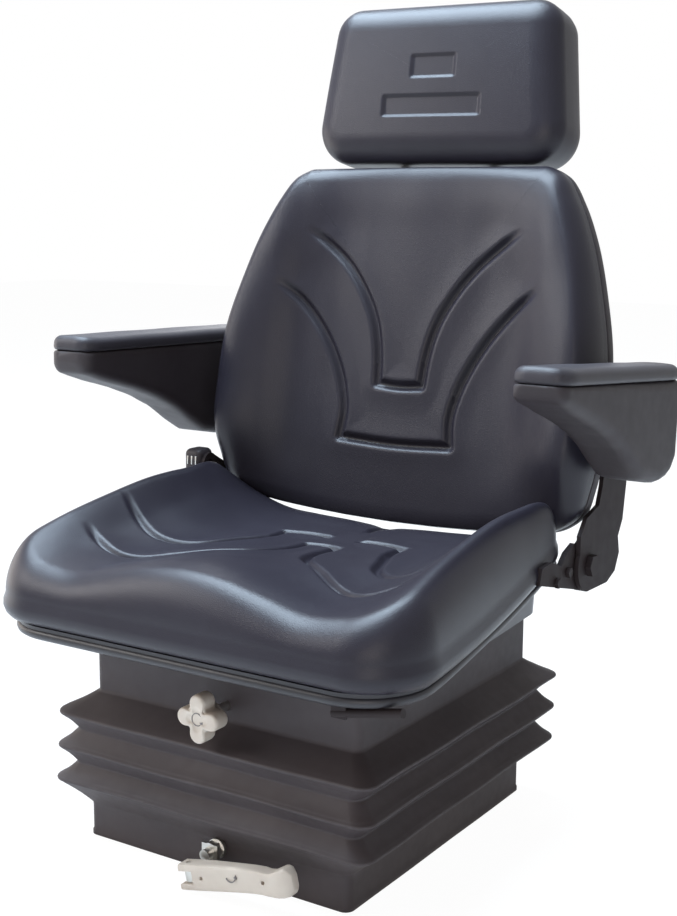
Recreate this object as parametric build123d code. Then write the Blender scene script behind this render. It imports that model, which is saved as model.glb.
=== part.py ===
from build123d import *
import math
import os

# Tractor suspension seat, millimetres. X is across the seat, -Y is the front,
# Z is up. The origin is the centre of the base's bolt pattern, on its underside.

# Base tray and the bolts that hold it to the machine
base_width = 330.0
base_depth = 368.0
base_corner = 7.0
base_wall = 3.0
base_flange = 34.0
bolt_side_gap = 60.0
bolt_along = 240.0
bolt_hole_r = 4.5

# Scissor linkage
stroke = 80.0
rise_at_rest = 160.0
arm_length = 290.0
arm_thick = 5.0
arm_half_height = 16.0
arm_boss_r = 21.0
arm_from_web = 22.0
arm_spacing = 10.0
pivot_from_end = 10.0
pivot_r = 6.0
running_gap = 0.05
centre_pin_r = 8.0
centre_slack = 1.8
axle_tube_r = 9.0

# Roller channels and rollers
roller_r = 13.0
roller_width = 11.0
roller_slack = 2.0
channel_wall = 3.0
channel_from_side = 15.0
channel_lip = 17.0
channel_end_gap = 29.0

# Upper frame that rides on the scissor
band_inset = 1.3
band_shorter = 11.0
band_back = 10.8
band_corner = 7.0
band_wall = 2.5
band_height = 65.0
plate_thick = 3.0
window_from_rail = 29.0
window_from_end = 88.5
window_corner = 20.0

# Bellows
bellows_wall = 2.5
bellows_fit = 0.5
skirt_foot = 2.0
skirt_top = 40.0
fold_count = 3
fold_first = 69.0
fold_pitch = 36.0
fold_out_x = 31.0
fold_out_y = 26.0
fold_tip = 4.0
valley_out = 10.0
collar_start = 162.0
collar_fit = 0.3
collar_top = 228.0
bellows_corner = 16.0
bellows_valley_corner = 14.0

# Damper
damper_from_arm = 38.0
damper_behind_pivot = 15.0
damper_low_z = 26.0
damper_run = 190.0
damper_high_drop = 21.0
damper_tube_r = 16.0
damper_tube_wall = 3.0
damper_tube_length = 138.0
damper_rod_r = 6.0
damper_rod_length = 150.0
damper_rod_slack = 3.8
damper_eye_r = 12.0
damper_pin_r = 5.0
damper_eye_width = 16.0
clevis_plate = 4.0
clevis_gap = 0.4

# Weight adjuster, its springs and handle
spindle_z = 31.0
spindle_r = 6.0
control_x = 10.0
spindle_reach = 25.0
spindle_rear = -96.0
spindle_hole_r = 11.0
carriage_from_front = 68.0
carriage_thick = 14.0
carriage_from_damper = 4.0
carriage_height = 22.0
spring_from_damper = 38.0
spring_coil_r = 11.0
spring_wire_r = 2.0
spring_turns = 14
handle_length = 134.0
handle_depth = 19.0
handle_height = 27.0
handle_tilt = 12.5
handle_drop = 13.5
handle_pin_side = 2.0
handle_reach = 43.0
handle_pin_r = 3.0
crank_thick = 4.0

# Height knob
knob_z = 178.0
knob_lobes = 4
knob_lobe_r = 9.5
knob_lobe_at = 16.0
knob_thick = 20.0
knob_reach = 51.5
knob_hub_thick = 9.0
knob_shaft_r = 5.0
knob_shaft_end = -150.0

# Slide rails under the pan
rail_from_web = 40.0
rail_end_gap = 11.0
slide_travel = 75.0
rail_width = 42.0
rail_height = 14.0
rail_wall = 2.5
rail_gap = 0.3
rail_lip = 12.0

# Fore and aft lever
lever_from_rail = 40.0
lever_pivot_y = -60.0
lever_bar_z = 232.2
lever_bar_thick = 3.0
lever_bar_width = 16.0
lever_front_y = -226.0
lever_from_collar = 13.5
lever_drop = 17.0
lever_grip_run = 63.0
lever_grip_rise = 12.0
lever_grip_r = 4.5
lever_pin_r = 4.0
lever_head = 2.5
lever_head_gap = 0.3

# Seat pan
pan_bottom = 236.0
pan_thick = 3.0
pan_front = -245.0
pan_rear = 158.0
pan_front_half = 252.0
pan_rear_half = 226.0
pan_corner = 68.0
pan_rear_corner = 26.0
well_inset = 60.0
well_corner = 30.0
lip_width = 6.0
lip_height = 10.0
rim_points = [(-260, 237.5), (-150, 240.5), (-61, 249), (35, 264), (120, 282), (175, 294)]

# Seat cushion
cushion_over = 5.0
cushion_gap = 0.3
cushion_rear = 166.0
cushion_corner = 72.0
plug_inset = 12.0
groove_depth = 4.5
groove_width = 8.0

# Hinge brackets, back arms and recline pivot
hinge_y = 176.0
hinge_z = 288.0
hinge_r = 30.0
hinge_pin_r = 7.0
bracket_x = 240.0
bracket_thick = 6.0
arm_plate = 5.0
arm_gap = 1.0
bracket_bolt_y = (102.0, 130.0)
bracket_bolt_up = 4.0
bracket_bolt_r = 3.0
bracket_nut_room = 6.4

# Backrest
back_tilt = 11.0
back_y = 168.0
back_z = 407.0
back_top = 326.0
back_low = -86.0
back_thick = 18.0
shell_depth = 24.0
shell_wall = 4.0
shell_over = 2.0

# Headrest
head_low = 332.0
head_high = 527.0
head_low_half = 172.0
head_high_half = 150.0
head_low_corner = 40.0
head_high_corner = 38.0
head_thick = 84.0
head_edge = 30.0
post_x = 62.0
post_r = 6.0
post_y = 62.0
post_low = 170.0
guide_r = 11.0
guide_low = 210.0
guide_high = 318.0

# Armrests
rest_inner_x = 264.0
rest_outer_x = 322.0
rest_pivot_y = 241.0
rest_pivot_z = 440.0
rest_pivot_r = 6.0
rest_front = -68.0
rest_rear = 252.0
rest_top = 522.0
rest_pad = 18.0
rest_pad_over = 2.0
rest_turn_y = 150.0
left_rest_tilt = 4.4
left_rest_rise = -2.0
right_rest_tilt = 0.7
right_rest_rise = 6.0

# Recliner knob
recliner_y = 132.0
recliner_z = 360.0
recliner_r = 17.0
recliner_thick = 16.0
recliner_shaft_r = 5.0

# Values that follow from the sizes above
channel_height = 2 * (roller_r + roller_slack + channel_wall)
bolt_across = base_width - 2 * bolt_side_gap
channel_web_x = base_width / 2 - channel_from_side
channel_depth = base_depth - 2 * channel_end_gap
outer_arm_x = channel_web_x - arm_from_web
inner_arm_x = outer_arm_x - arm_spacing
damper_x = inner_arm_x - damper_from_arm
spring_x = damper_x - spring_from_damper
carriage_width = 2 * (damper_x - damper_tube_r - carriage_from_damper)
rail_x = channel_web_x - rail_from_web
lever_x = rail_x + lever_from_rail
band_width = base_width - 2 * band_inset
band_depth = base_depth - band_shorter
rail_length = band_depth - 2 * (band_wall + rail_end_gap)
slider_length = rail_length - 2 * slide_travel
fixed_pivot_y = -channel_depth / 2 + pivot_from_end
damper_low_y = fixed_pivot_y + damper_behind_pivot
damper_high_y = damper_low_y + damper_run
carriage_y = -base_depth / 2 + carriage_from_front
low_pivot_z = base_wall + channel_height / 2
high_pivot_z = low_pivot_z + rise_at_rest
plate_low = high_pivot_z + channel_height / 2
plate_top = plate_low + plate_thick
band_low = plate_low - channel_height
arm_angle = math.degrees(math.asin(rise_at_rest / arm_length))
roller_y = fixed_pivot_y + arm_length * math.cos(math.radians(arm_angle))
centre_y = (fixed_pivot_y + roller_y) / 2
centre_z = (low_pivot_z + high_pivot_z) / 2
roller_x = channel_web_x - channel_wall - 1.5 - roller_width / 2
skirt_half_x = base_width / 2 + bellows_fit + bellows_wall
skirt_half_y = base_depth / 2 + bellows_fit + bellows_wall
collar_half_x = band_width / 2 + collar_fit + bellows_wall
collar_half_y = band_depth / 2 + collar_fit + bellows_wall
collar_front = band_back - collar_half_y
lever_drop_x = collar_half_x + lever_from_collar
band_front = band_back - band_depth / 2
spindle_front = -skirt_half_y - spindle_reach
handle_y = -skirt_half_y - handle_reach
handle_pin_x = control_x - handle_pin_side
knob_front = collar_front - knob_reach
arm_x = bracket_x + bracket_thick + arm_gap
side_slope = (pan_front_half - pan_rear_half) / (pan_rear - pan_front)
damper_high_z = plate_low - damper_high_drop

os.makedirs("parts", exist_ok=True)


def save(shape, name):
    shape.label = name
    export_step(shape, "parts/" + name + ".step")


def box(x0, x1, y0, y1, z0, z1):
    size = (x1 - x0, y1 - y0, z1 - z0)
    return Pos((x0 + x1) / 2, (y0 + y1) / 2, (z0 + z1) / 2) * Box(*size)


def rod_x(x0, x1, y, z, r):
    return Pos((x0 + x1) / 2, y, z) * Rot(0, 90, 0) * Cylinder(r, abs(x1 - x0))


def rod_y(y0, y1, x, z, r):
    return Pos(x, (y0 + y1) / 2, z) * Rot(90, 0, 0) * Cylinder(r, abs(y1 - y0))


def rod_z(z0, z1, x, y, r):
    return Pos(x, y, (z0 + z1) / 2) * Cylinder(r, abs(z1 - z0))


def hex_x(x0, x1, y, z, across):
    plane = Plane(origin=(x0, y, z), x_dir=(0, 1, 0), z_dir=(1, 0, 0))
    return extrude(plane * RegularPolygon(across / math.sqrt(3), 6), x1 - x0)


def hex_y(y0, y1, x, z, across):
    plane = Plane(origin=(x, y0, z), x_dir=(1, 0, 0), z_dir=(0, 1, 0))
    return extrude(plane * RegularPolygon(across / math.sqrt(3), 6), y1 - y0)


def side_profile(points, x0, x1):
    face = make_face(Polyline(*[(x0, y, z) for y, z in points], close=True))
    return extrude(face, amount=x1 - x0, dir=(1, 0, 0))


def pair(shape):
    return shape + mirror(shape, about=Plane.YZ)


def together(shapes):
    return Compound(children=list(shapes))


def rounded(width, depth, corner, z):
    return Pos(0, 0, z) * RectangleRounded(width, depth, corner)


# Base tray
def make_base_tray():
    tray = extrude(rounded(base_width, base_depth, base_corner, 0), base_flange)
    wide = base_width - 2 * base_wall
    deep = base_depth - 2 * base_wall
    inner = rounded(wide, deep, base_corner - base_wall, base_wall)
    tray -= extrude(inner, base_flange)
    for x in (-bolt_across / 2, bolt_across / 2):
        for y in (-bolt_along / 2, bolt_along / 2):
            tray -= rod_z(-1, base_wall + 1, x, y, bolt_hole_r)
    tray -= rod_y(-base_depth / 2 - 1, -base_depth / 2 + base_wall + 1, control_x, spindle_z, spindle_hole_r)
    return tray


# One roller channel, open towards the middle, with its fixed pivot's hole
def make_channel(side, z):
    low = z - channel_height / 2
    high = z + channel_height / 2
    y0 = -channel_depth / 2
    y1 = channel_depth / 2
    lip_x = channel_web_x - channel_lip
    channel = box(lip_x, channel_web_x, y0, y1, low, high)
    inside = channel_web_x - channel_wall
    channel -= box(lip_x - 1, inside, y0 - 1, y1 + 1, low + channel_wall, high - channel_wall)
    channel -= rod_x(inside - 1, channel_web_x + 1, fixed_pivot_y, z, pivot_r + running_gap)
    return channel if side > 0 else mirror(channel, about=Plane.YZ)


# Front pivot pin: a headed stub through the channel's web, with a spacer collar
def make_pivot_pins(arm_at, z):
    pin = rod_x(arm_at - arm_thick / 2 - 4, channel_web_x + 0.5, fixed_pivot_y, z, pivot_r)
    collar_from = arm_at + arm_thick / 2 + 0.3
    pin += rod_x(collar_from, channel_web_x - channel_wall, fixed_pivot_y, z, pivot_r + 4)
    pin += rod_x(arm_at - arm_thick / 2 - 4, arm_at - arm_thick / 2 - 0.3, fixed_pivot_y, z, pivot_r + 4)
    pin += rod_x(channel_web_x, channel_web_x + 2, fixed_pivot_y, z, pivot_r + 3)
    return pin


# Flat link of the scissor, laid along +Y before it is tilted
def make_arm(x, angle, y, z, centre_hole, front_hole, rear_hole):
    face = Plane(origin=(x - arm_thick / 2, 0, 0), x_dir=(0, 1, 0), z_dir=(1, 0, 0))
    half = arm_length / 2
    outline = SlotCenterToCenter(arm_length, 2 * arm_half_height) + Circle(arm_boss_r)
    outline -= Circle(centre_hole)
    outline -= Pos(-half, 0) * Circle(front_hole)
    outline -= Pos(half, 0) * Circle(rear_hole)
    arm = extrude(face * (Pos(half, 0) * outline), arm_thick)
    return Pos(0, y, z) * Rot(angle, 0, 0) * arm


# Cross tube with stub axles for the two rollers
def make_axle(arm_at, y, z):
    inside = arm_at - arm_thick / 2
    tube = rod_x(-inside, inside, y, z, axle_tube_r)
    stub_end = roller_x + roller_width / 2 + 1
    tube += rod_x(-stub_end, stub_end, y, z, pivot_r)
    spacer = rod_x(arm_at + arm_thick / 2, roller_x - roller_width / 2 - 0.5, y, z, axle_tube_r)
    return tube + pair(spacer)


def make_rollers(y, z):
    roller = rod_x(roller_x - roller_width / 2, roller_x + roller_width / 2, y, z, roller_r)
    roller -= rod_x(roller_x - roller_width, roller_x + roller_width, y, z, pivot_r + running_gap)
    groove = rod_x(roller_x - 2, roller_x + 2, y, z, roller_r + 1)
    groove -= rod_x(roller_x - 3, roller_x + 3, y, z, roller_r - 1.5)
    return roller - groove


# Upper frame: a folded band with a plate welded across it
def make_upper_frame():
    band = extrude(rounded(band_width, band_depth, band_corner, band_low), band_height)
    wide = band_width - 2 * band_wall
    deep = band_depth - 2 * band_wall
    inner = rounded(wide, deep, band_corner - band_wall, band_low - 1)
    band -= extrude(inner, band_height + 2)
    plate = rounded(band_width - band_wall, band_depth - band_wall, band_corner - band_wall / 2, plate_low)
    frame = band + extrude(plate, plate_thick)
    window_width = 2 * (rail_x - rail_width / 2 - window_from_rail)
    window = RectangleRounded(window_width, band_depth - 2 * window_from_end, window_corner)
    window = Pos(0, -band_back, plate_low - 1) * window
    frame -= extrude(window, plate_thick + 2)
    frame = Pos(0, band_back, 0) * frame
    hole_end = band_front + band_wall + 1
    return frame - rod_y(band_front - 1, hole_end, control_x, knob_z, knob_shaft_r + running_gap)


# Bellows: stacked folds between the skirt on the tray and the collar on the band
def bellows_profile():
    skirt_corner = base_corner + bellows_fit + bellows_wall
    collar_corner = band_corner + collar_fit + bellows_wall
    levels = [(skirt_foot, 0, 0, skirt_corner), (skirt_top, 0, 0, skirt_corner)]
    for i in range(fold_count):
        tip = fold_first + i * fold_pitch
        levels.append((tip - fold_tip / 2, fold_out_x, fold_out_y, bellows_corner))
        levels.append((tip + fold_tip / 2, fold_out_x, fold_out_y, bellows_corner))
        if i < fold_count - 1:
            levels.append((tip + fold_pitch / 2, valley_out, valley_out, bellows_valley_corner))
    in_x = collar_half_x - skirt_half_x
    in_y = collar_half_y - skirt_half_y
    levels.append((collar_start, in_x, in_y, collar_corner))
    levels.append((collar_top, in_x, in_y, collar_corner))
    return levels


def bellows_stack(inset, extra):
    levels = bellows_profile()
    sections = []
    for i, (z, out_x, out_y, corner) in enumerate(levels):
        width = 2 * (skirt_half_x + out_x - inset)
        depth = 2 * (skirt_half_y + out_y - inset)
        shift = -extra if i == 0 else extra if i == len(levels) - 1 else 0
        back = band_back * min(1, max(0, (z - skirt_top) / (collar_start - skirt_top)))
        sections.append(Pos(0, back, 0) * rounded(width, depth, corner - inset, z + shift))
    return loft(sections, ruled=True)


def make_bellows():
    bellows = bellows_stack(0, 0) - bellows_stack(bellows_wall, 1)
    for front, z, r in ((-skirt_half_y, spindle_z, spindle_hole_r), (collar_front, knob_z, knob_shaft_r + 4)):
        bellows -= rod_y(front - fold_out_y, front + 2 * bellows_wall, control_x, z, r)
    return bellows


def make_bump_stops():
    x = channel_web_x - channel_lip / 2
    top = band_low - stroke - 0.5
    low = low_pivot_z + channel_height / 2
    stop = Pos(x, -95, (low + top) / 2) * Cylinder(7.5, top - low)
    stop += Pos(x, 20, (low + top) / 2) * Cylinder(7.5, top - low)
    return pair(stop)


# Damper
def damper_angle():
    return math.degrees(math.atan2(damper_high_z - damper_low_z, damper_high_y - damper_low_y))


def make_damper_tube():
    half = damper_eye_width / 2
    tube = rod_y(damper_eye_r, damper_tube_length, 0, 0, damper_tube_r)
    bore = damper_tube_r - damper_tube_wall
    tube -= rod_y(damper_eye_r + damper_tube_wall, damper_tube_length - 6, 0, 0, bore)
    tube -= rod_y(damper_tube_length - 7, damper_tube_length + 1, 0, 0, damper_rod_r + damper_rod_slack)
    eye = rod_x(-half, half, 0, 0, damper_eye_r) + box(-half, half, 0, damper_eye_r + 1, -8, 8)
    tube = tube + eye - rod_x(-half - 1, half + 1, 0, 0, damper_pin_r + running_gap)
    return Pos(damper_x, damper_low_y, damper_low_z) * Rot(damper_angle(), 0, 0) * tube


def make_damper_rod():
    half = damper_eye_width / 2
    rod = rod_y(-damper_rod_length, -damper_eye_r + 2, 0, 0, damper_rod_r)
    rod += rod_y(-damper_rod_length - 10, -damper_rod_length, 0, 0, damper_rod_r + 4)
    rod += rod_x(-half, half, 0, 0, damper_eye_r)
    rod -= rod_x(-half - 1, half + 1, 0, 0, damper_pin_r + running_gap)
    return Pos(damper_x, damper_high_y, damper_high_z) * Rot(damper_angle(), 0, 0) * rod


# Two ears and a pin that carry one eye of the damper
def make_clevis(y, z, foot):
    half = damper_eye_width / 2 + clevis_gap
    ear = box(damper_x + half, damper_x + half + clevis_plate, y - 12, y + 12, min(z, foot), max(z, foot))
    ear += rod_x(damper_x + half, damper_x + half + clevis_plate, y, z, 12)
    other = mirror(ear, about=Plane.YZ.offset(damper_x))
    reach = half + clevis_plate + 2
    return ear + other + rod_x(damper_x - reach, damper_x + reach, y, z, damper_pin_r)


# Weight adjuster
def make_spindle_bearing():
    face = -base_depth / 2 + base_wall
    plate = box(control_x - 28, control_x + 28, face + 18, face + 23, base_wall, spindle_z + 17)
    plate += box(control_x - 28, control_x + 28, face + 18, face + 44, base_wall, base_wall + 4)
    return plate - rod_y(face + 17, face + 24, control_x, spindle_z, spindle_r + running_gap)


def make_spindle():
    front = -skirt_half_y
    spindle = rod_y(spindle_front, spindle_rear, control_x, spindle_z, spindle_r)
    spindle += rod_y(front - 5, front - 1, control_x, spindle_z, spindle_hole_r - 0.5)
    spindle += hex_y(front - 12, front - 5, control_x, spindle_z, 17)
    return spindle


def make_carriage():
    half = carriage_thick / 2
    side = carriage_width / 2
    low = spindle_z - carriage_height / 2
    bar = box(-side, side, carriage_y - half, carriage_y + half, low, low + carriage_height)
    bar -= rod_y(carriage_y - half - 1, carriage_y + half + 1, control_x, spindle_z, spindle_r + running_gap)
    for x in (-spring_x, spring_x):
        bar -= box(x - 4, x + 4, carriage_y - 3, carriage_y + half + 1, low - 1, low + carriage_height + 1)
        bar += rod_x(x - 5, x + 5, carriage_y + half - 2, spring_z(), 2.8)
    return bar


def spring_z():
    return low_pivot_z


# Tension spring between the carriage and the rear axle, with an eye at each end
def make_spring(x):
    front = carriage_y + carriage_thick / 2 - 2
    rear = roller_y
    front_eye = 2.8 + 0.3 + spring_wire_r
    rear_eye = axle_tube_r + 0.3 + spring_wire_r
    start = front + front_eye + spring_coil_r
    end = rear - rear_eye - spring_coil_r
    pitch = (end - start) / spring_turns
    helix = Helix(pitch, end - start, spring_coil_r - spring_wire_r)
    path = Pos(x, start, spring_z()) * Rot(-90, 0, 0) * helix
    coil = sweep(Plane(origin=path @ 0, z_dir=path % 0) * RegularPolygon(spring_wire_r, 6), path)
    ring = Torus(front_eye, spring_wire_r)
    eye = Pos(x, front, spring_z()) * Rot(0, 90, 0) * ring
    far = Pos(x, rear, spring_z()) * Rot(0, 90, 0) * Torus(rear_eye, spring_wire_r)
    neck = rod_y(front + front_eye, start, x, spring_z(), spring_wire_r)
    disc = rod_y(start - 3, start + 1, x, spring_z(), spring_coil_r)
    back_neck = rod_y(end, rear - rear_eye, x, spring_z(), spring_wire_r)
    back_disc = rod_y(end - 1, end + 3, x, spring_z(), spring_coil_r)
    return coil + eye + far + neck + disc + back_neck + back_disc


# Crank plate on the spindle, ending in an upright eye for the folding handle
def handle_place(shape):
    return Pos(handle_pin_x, handle_y, spindle_z - handle_drop) * Rot(0, -handle_tilt, 0) * shape


def make_crank():
    low = spindle_z - handle_drop
    front = -skirt_half_y - 12
    plate = box(handle_pin_x - 8, control_x + 10, front - crank_thick, front, low - 8, spindle_z + 9)
    plate += rod_y(front - crank_thick, front, control_x, spindle_z, 10)
    plate -= rod_y(front - crank_thick - 1, front + 1, control_x, spindle_z, spindle_r + running_gap)
    lug_y = handle_y - front
    lug = box(-5, 5, 0, -lug_y, -6, 6) + Cylinder(6, 12)
    lug -= Cylinder(handle_pin_r + running_gap, 14)
    return plate + handle_place(lug)


def make_handle():
    half = handle_depth / 2
    grip = handle_length - 14
    face = Plane(origin=(0, half, 0), x_dir=(1, 0, 0), z_dir=(0, -1, 0))
    low = -handle_height / 2
    high = handle_height / 2
    under = [(-8, low), (grip - 22, low), (grip - 8, low - 3), (grip + 6, low - 3), (grip + 10, low + 2)]
    over = [(grip + 10, high - 3), (grip + 5, high), (grip - 16, high - 1), (grip - 34, high - 3)]
    outline = Polyline(*under, *over, (30, high), (-8, high + 1), close=True)
    body = extrude(face * make_face(outline), handle_depth)
    body -= box(-9, 8.5, -half - 1, half + 1, -6.6, 6.6)
    body -= Pos(64, half + 20, high + 4) * Rot(0, 90, 0) * Cylinder(24, 60)
    body -= Cylinder(handle_pin_r + running_gap, 60)
    return handle_place(body)


def make_handle_pin():
    pin = Cylinder(handle_pin_r, handle_height - 2)
    return handle_place(pin)


# Star knob for the height adjustment
def make_star_knob():
    face = Plane(origin=(control_x, knob_front, knob_z), x_dir=(1, 0, 0), z_dir=(0, 1, 0))
    star = Circle(knob_lobe_at)
    hub = Circle(knob_lobe_at * 0.7)
    for i in range(knob_lobes):
        angle = math.radians(90 + i * 360 / knob_lobes)
        place = Pos(knob_lobe_at * math.cos(angle), knob_lobe_at * math.sin(angle))
        star += place * Circle(knob_lobe_r)
    knob = extrude(face * star, knob_thick)
    back = Plane(origin=(control_x, knob_front + knob_thick, knob_z), x_dir=(1, 0, 0), z_dir=(0, 1, 0))
    knob += extrude(back * hub, knob_hub_thick)
    bore_end = knob_front + knob_thick + knob_hub_thick + 1
    return knob - rod_y(knob_front + 6, bore_end, control_x, knob_z, knob_shaft_r + running_gap)


def make_knob_shaft():
    return rod_y(knob_front + 6, knob_shaft_end, control_x, knob_z, knob_shaft_r)


# Slide rails
def make_lower_rail(x):
    half = rail_width / 2
    y = rail_length / 2
    top = plate_top + rail_height
    rail = box(x - half, x + half, -y, y, plate_top, top)
    inside = half - rail_wall
    rail -= box(x - inside, x + inside, -y - 1, y + 1, plate_top + rail_wall, top - rail_wall)
    rail -= box(x - half + rail_lip, x + half - rail_lip, -y - 1, y + 1, top - rail_wall - 1, top + 1)
    return Pos(0, band_back, 0) * rail


def make_upper_rail(x):
    half = rail_width / 2 - rail_wall - rail_gap
    y = slider_length / 2
    low = plate_top + rail_wall + rail_gap
    high = plate_top + rail_height - rail_wall - rail_gap
    neck = rail_width / 2 - rail_lip - 1
    rail = box(x - half, x + half, -y, y, low, high)
    rail += box(x - neck, x + neck, -y, y, high - 1, pan_bottom)
    rail += box(x - rail_width / 2, x + rail_width / 2, -y, y, pan_bottom - rail_wall, pan_bottom)
    return Pos(0, band_back, 0) * rail


# Lever that frees the slide, pivoted under the pan
def make_slide_lever():
    low = lever_bar_z
    high = lever_bar_z + lever_bar_thick
    half = lever_bar_width / 2
    bar = box(lever_x - half, lever_x + half, lever_front_y, lever_pivot_y, low, high)
    bar += rod_z(low, high, lever_x, lever_pivot_y, half)
    bar -= rod_z(low - 1, high + 1, lever_x, lever_pivot_y, lever_pin_r + running_gap)
    back = lever_front_y + lever_bar_width
    bar += box(lever_x - half, lever_drop_x + half, lever_front_y, back, low, high)
    foot = low - lever_drop
    front = lever_front_y + lever_bar_thick
    bar += box(lever_drop_x - half, lever_drop_x + half, lever_front_y, front, foot, high)
    angle = math.degrees(math.atan2(lever_grip_rise, lever_grip_run))
    length = math.hypot(lever_grip_run, lever_grip_rise) + lever_grip_r
    place = Pos(lever_drop_x, lever_front_y + lever_grip_r - 1, foot + lever_grip_r) * Rot(0, -angle, 0)
    grip = place * rod_x(-half, length, 0, 0, lever_grip_r)
    return bar + grip


def make_lever_pin():
    low = lever_bar_z - lever_head_gap - lever_head
    pin = rod_z(low, pan_bottom, lever_x, lever_pivot_y, lever_pin_r)
    return pin + rod_z(low, lever_bar_z - lever_head_gap, lever_x, lever_pivot_y, lever_pin_r + 4)


# Plan outline shared by the pan and the cushion: wide in front, narrower behind
def plan_corners(face, front_corner, rear_corner):
    vertices = face.vertices().sort_by(Axis.Y)
    face = fillet(vertices[:2], front_corner)
    return fillet(face.vertices().sort_by(Axis.Y)[-2:], rear_corner)


def plan_shape(grow, z, front_corner, rear_corner):
    front = pan_front - grow
    back = pan_rear + grow
    wide = pan_front_half + grow
    narrow = wide - side_slope * (back - front)
    corners = [(-wide, front, z), (wide, front, z), (narrow, back, z), (-narrow, back, z)]
    face = make_face(Polyline(*corners, close=True))
    return plan_corners(face, front_corner, rear_corner)


def plan_face(grow, z):
    return plan_shape(grow, z, pan_corner + grow, pan_rear_corner + grow)


def well_face(grow, z):
    return plan_shape(grow - well_inset, z, well_corner + grow, well_corner + grow)


def rim_band(low_shift, high_shift):
    low = Spline(*[(-300, y, z + low_shift) for y, z in rim_points])
    high = Spline(*[(-300, y, z + high_shift) for y, z in rim_points])
    ends = [Line(low @ 0, high @ 0), Line(low @ 1, high @ 1)]
    return extrude(make_face([low, high] + ends), amount=600, dir=(1, 0, 0))


def above_rim(shift):
    return rim_band(shift, shift + 400)


def rim_height(y):
    for (y0, z0), (y1, z1) in zip(rim_points, rim_points[1:]):
        if y0 <= y <= y1:
            return z0 + (z1 - z0) * (y - y0) / (y1 - y0)


def make_seat_pan():
    inside = -lip_width - pan_thick
    tall = 120
    sheet = extrude(plan_face(-lip_width, pan_bottom - 20), tall) & rim_band(0, pan_thick)
    lip = extrude(plan_face(0, pan_bottom - 20), tall)
    lip -= extrude(plan_face(inside, pan_bottom - 21), tall + 2)
    pan = sheet + (lip & rim_band(0, lip_height))
    pan -= extrude(well_face(-pan_thick, pan_bottom), tall)
    well = extrude(well_face(0, pan_bottom), tall)
    well -= extrude(well_face(-pan_thick, pan_bottom + pan_thick), tall)
    pan += well - above_rim(pan_thick)
    for side in (-1, 1):
        for y in bracket_bolt_y:
            z = rim_height(y) + bracket_bolt_up
            wall = lip_side_x(y) + inside - 0.2
            pan -= rod_x(side * (wall - 8), side * wall, y, z, bracket_nut_room)
            pan -= rod_x(side * (wall - 8), side * pan_front_half, y, z, bracket_bolt_r + running_gap)
    return pan


# Cushion crown: height of the top surface on each cross-section
def crown_heights(y):
    stations = {
        -262: (296, 298, 300, 303, 307, 306),
        -225: (331, 327, 319, 309, 315, 312),
        -150: (328, 323, 310, 307, 326, 331),
        -50: (312, 312, 307, 310, 343, 346),
        30: (305, 306, 306, 313, 353, 355),
        100: (300, 303, 304, 312, 348, 351),
        180: (296, 301, 303, 306, 312, 310),
    }
    return stations[y]


def crown_solid(drop):
    sections = []
    xs = (0, 55, 110, 150, 222, 275)
    for y in (-262, -225, -150, -50, 30, 100, 180):
        heights = [z - drop for z in crown_heights(y)]
        right = [(x, y, z) for x, z in zip(xs, heights)]
        left = [(-x, y, z) for x, y, z in reversed(right[1:])]
        top = Spline(*(left + right))
        low = 200
        edge = xs[-1]
        frame = Polyline(top @ 1, (edge, y, low), (-edge, y, low), top @ 0)
        sections.append(make_face([top] + frame.edges()))
    return loft(sections)


# Side, front and rear roll of the cushion: plan outlines stacked up the height
def pillow_solid():
    rings = [
        (pan_bottom, 0, 0, 0), (262, 2, 0, 0), (292, cushion_over + 2, 0, 0), (312, cushion_over, 6, 14),
        (330, -1, 24, 42), (344, -8, 60, 64), (356, -18, 100, 86),
    ]
    sections = []
    for z, grow, nose, tail in rings:
        front = pan_front - grow + nose
        back = cushion_rear - tail
        wide = pan_front_half + grow - side_slope * nose
        narrow = wide - side_slope * (back - front)
        corners = [(-wide, front, z), (wide, front, z), (narrow, back, z), (-narrow, back, z)]
        face = make_face(Polyline(*corners, close=True))
        sections.append(fillet(face.vertices(), cushion_corner))
    return loft(sections)


def groove_path(points, width):
    line = Spline(*[(x, y, 0) for x, y in points])
    return trace(line, width)


def seat_grooves():
    inner = [(20, 18), (21, -25), (38, -70), (75, -102), (114, -130), (152, -146), (190, -141), (224, -130)]
    outer = [(78, 60), (80, 40), (96, -12), (118, -55), (160, -76), (205, -66), (240, -48)]
    faces = []
    for side in (-1, 1):
        faces.append(groove_path([(side * x, y) for x, y in inner], groove_width))
        faces.append(groove_path([(side * x, y) for x, y in outer], groove_width))
    faces.append(Pos(0, 20) * Rectangle(44, groove_width))
    for side in (-1, 1):
        faces.append(Pos(side * 49, 62) * Rectangle(66, groove_width))
    faces.append(Pos(0, cushion_rear - 40) * Rectangle(groove_width, 84))
    return faces


def make_seat_cushion():
    crown = crown_solid(0)
    cushion = pillow_solid() & crown & above_rim(lip_height + cushion_gap)
    floor = crown_solid(groove_depth)
    for face in seat_grooves():
        tool = extrude(Pos(0, 0, 250) * face, 130) - floor
        cushion -= tool
    low = pan_bottom + pan_thick
    plug = extrude(well_face(-pan_thick - cushion_gap, low), 90) - above_rim(lip_height + 1)
    board = extrude(plan_face(-lip_width - plug_inset, low), 90)
    board &= rim_band(pan_thick + cushion_gap, lip_height + 1)
    return cushion + plug + board


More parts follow.
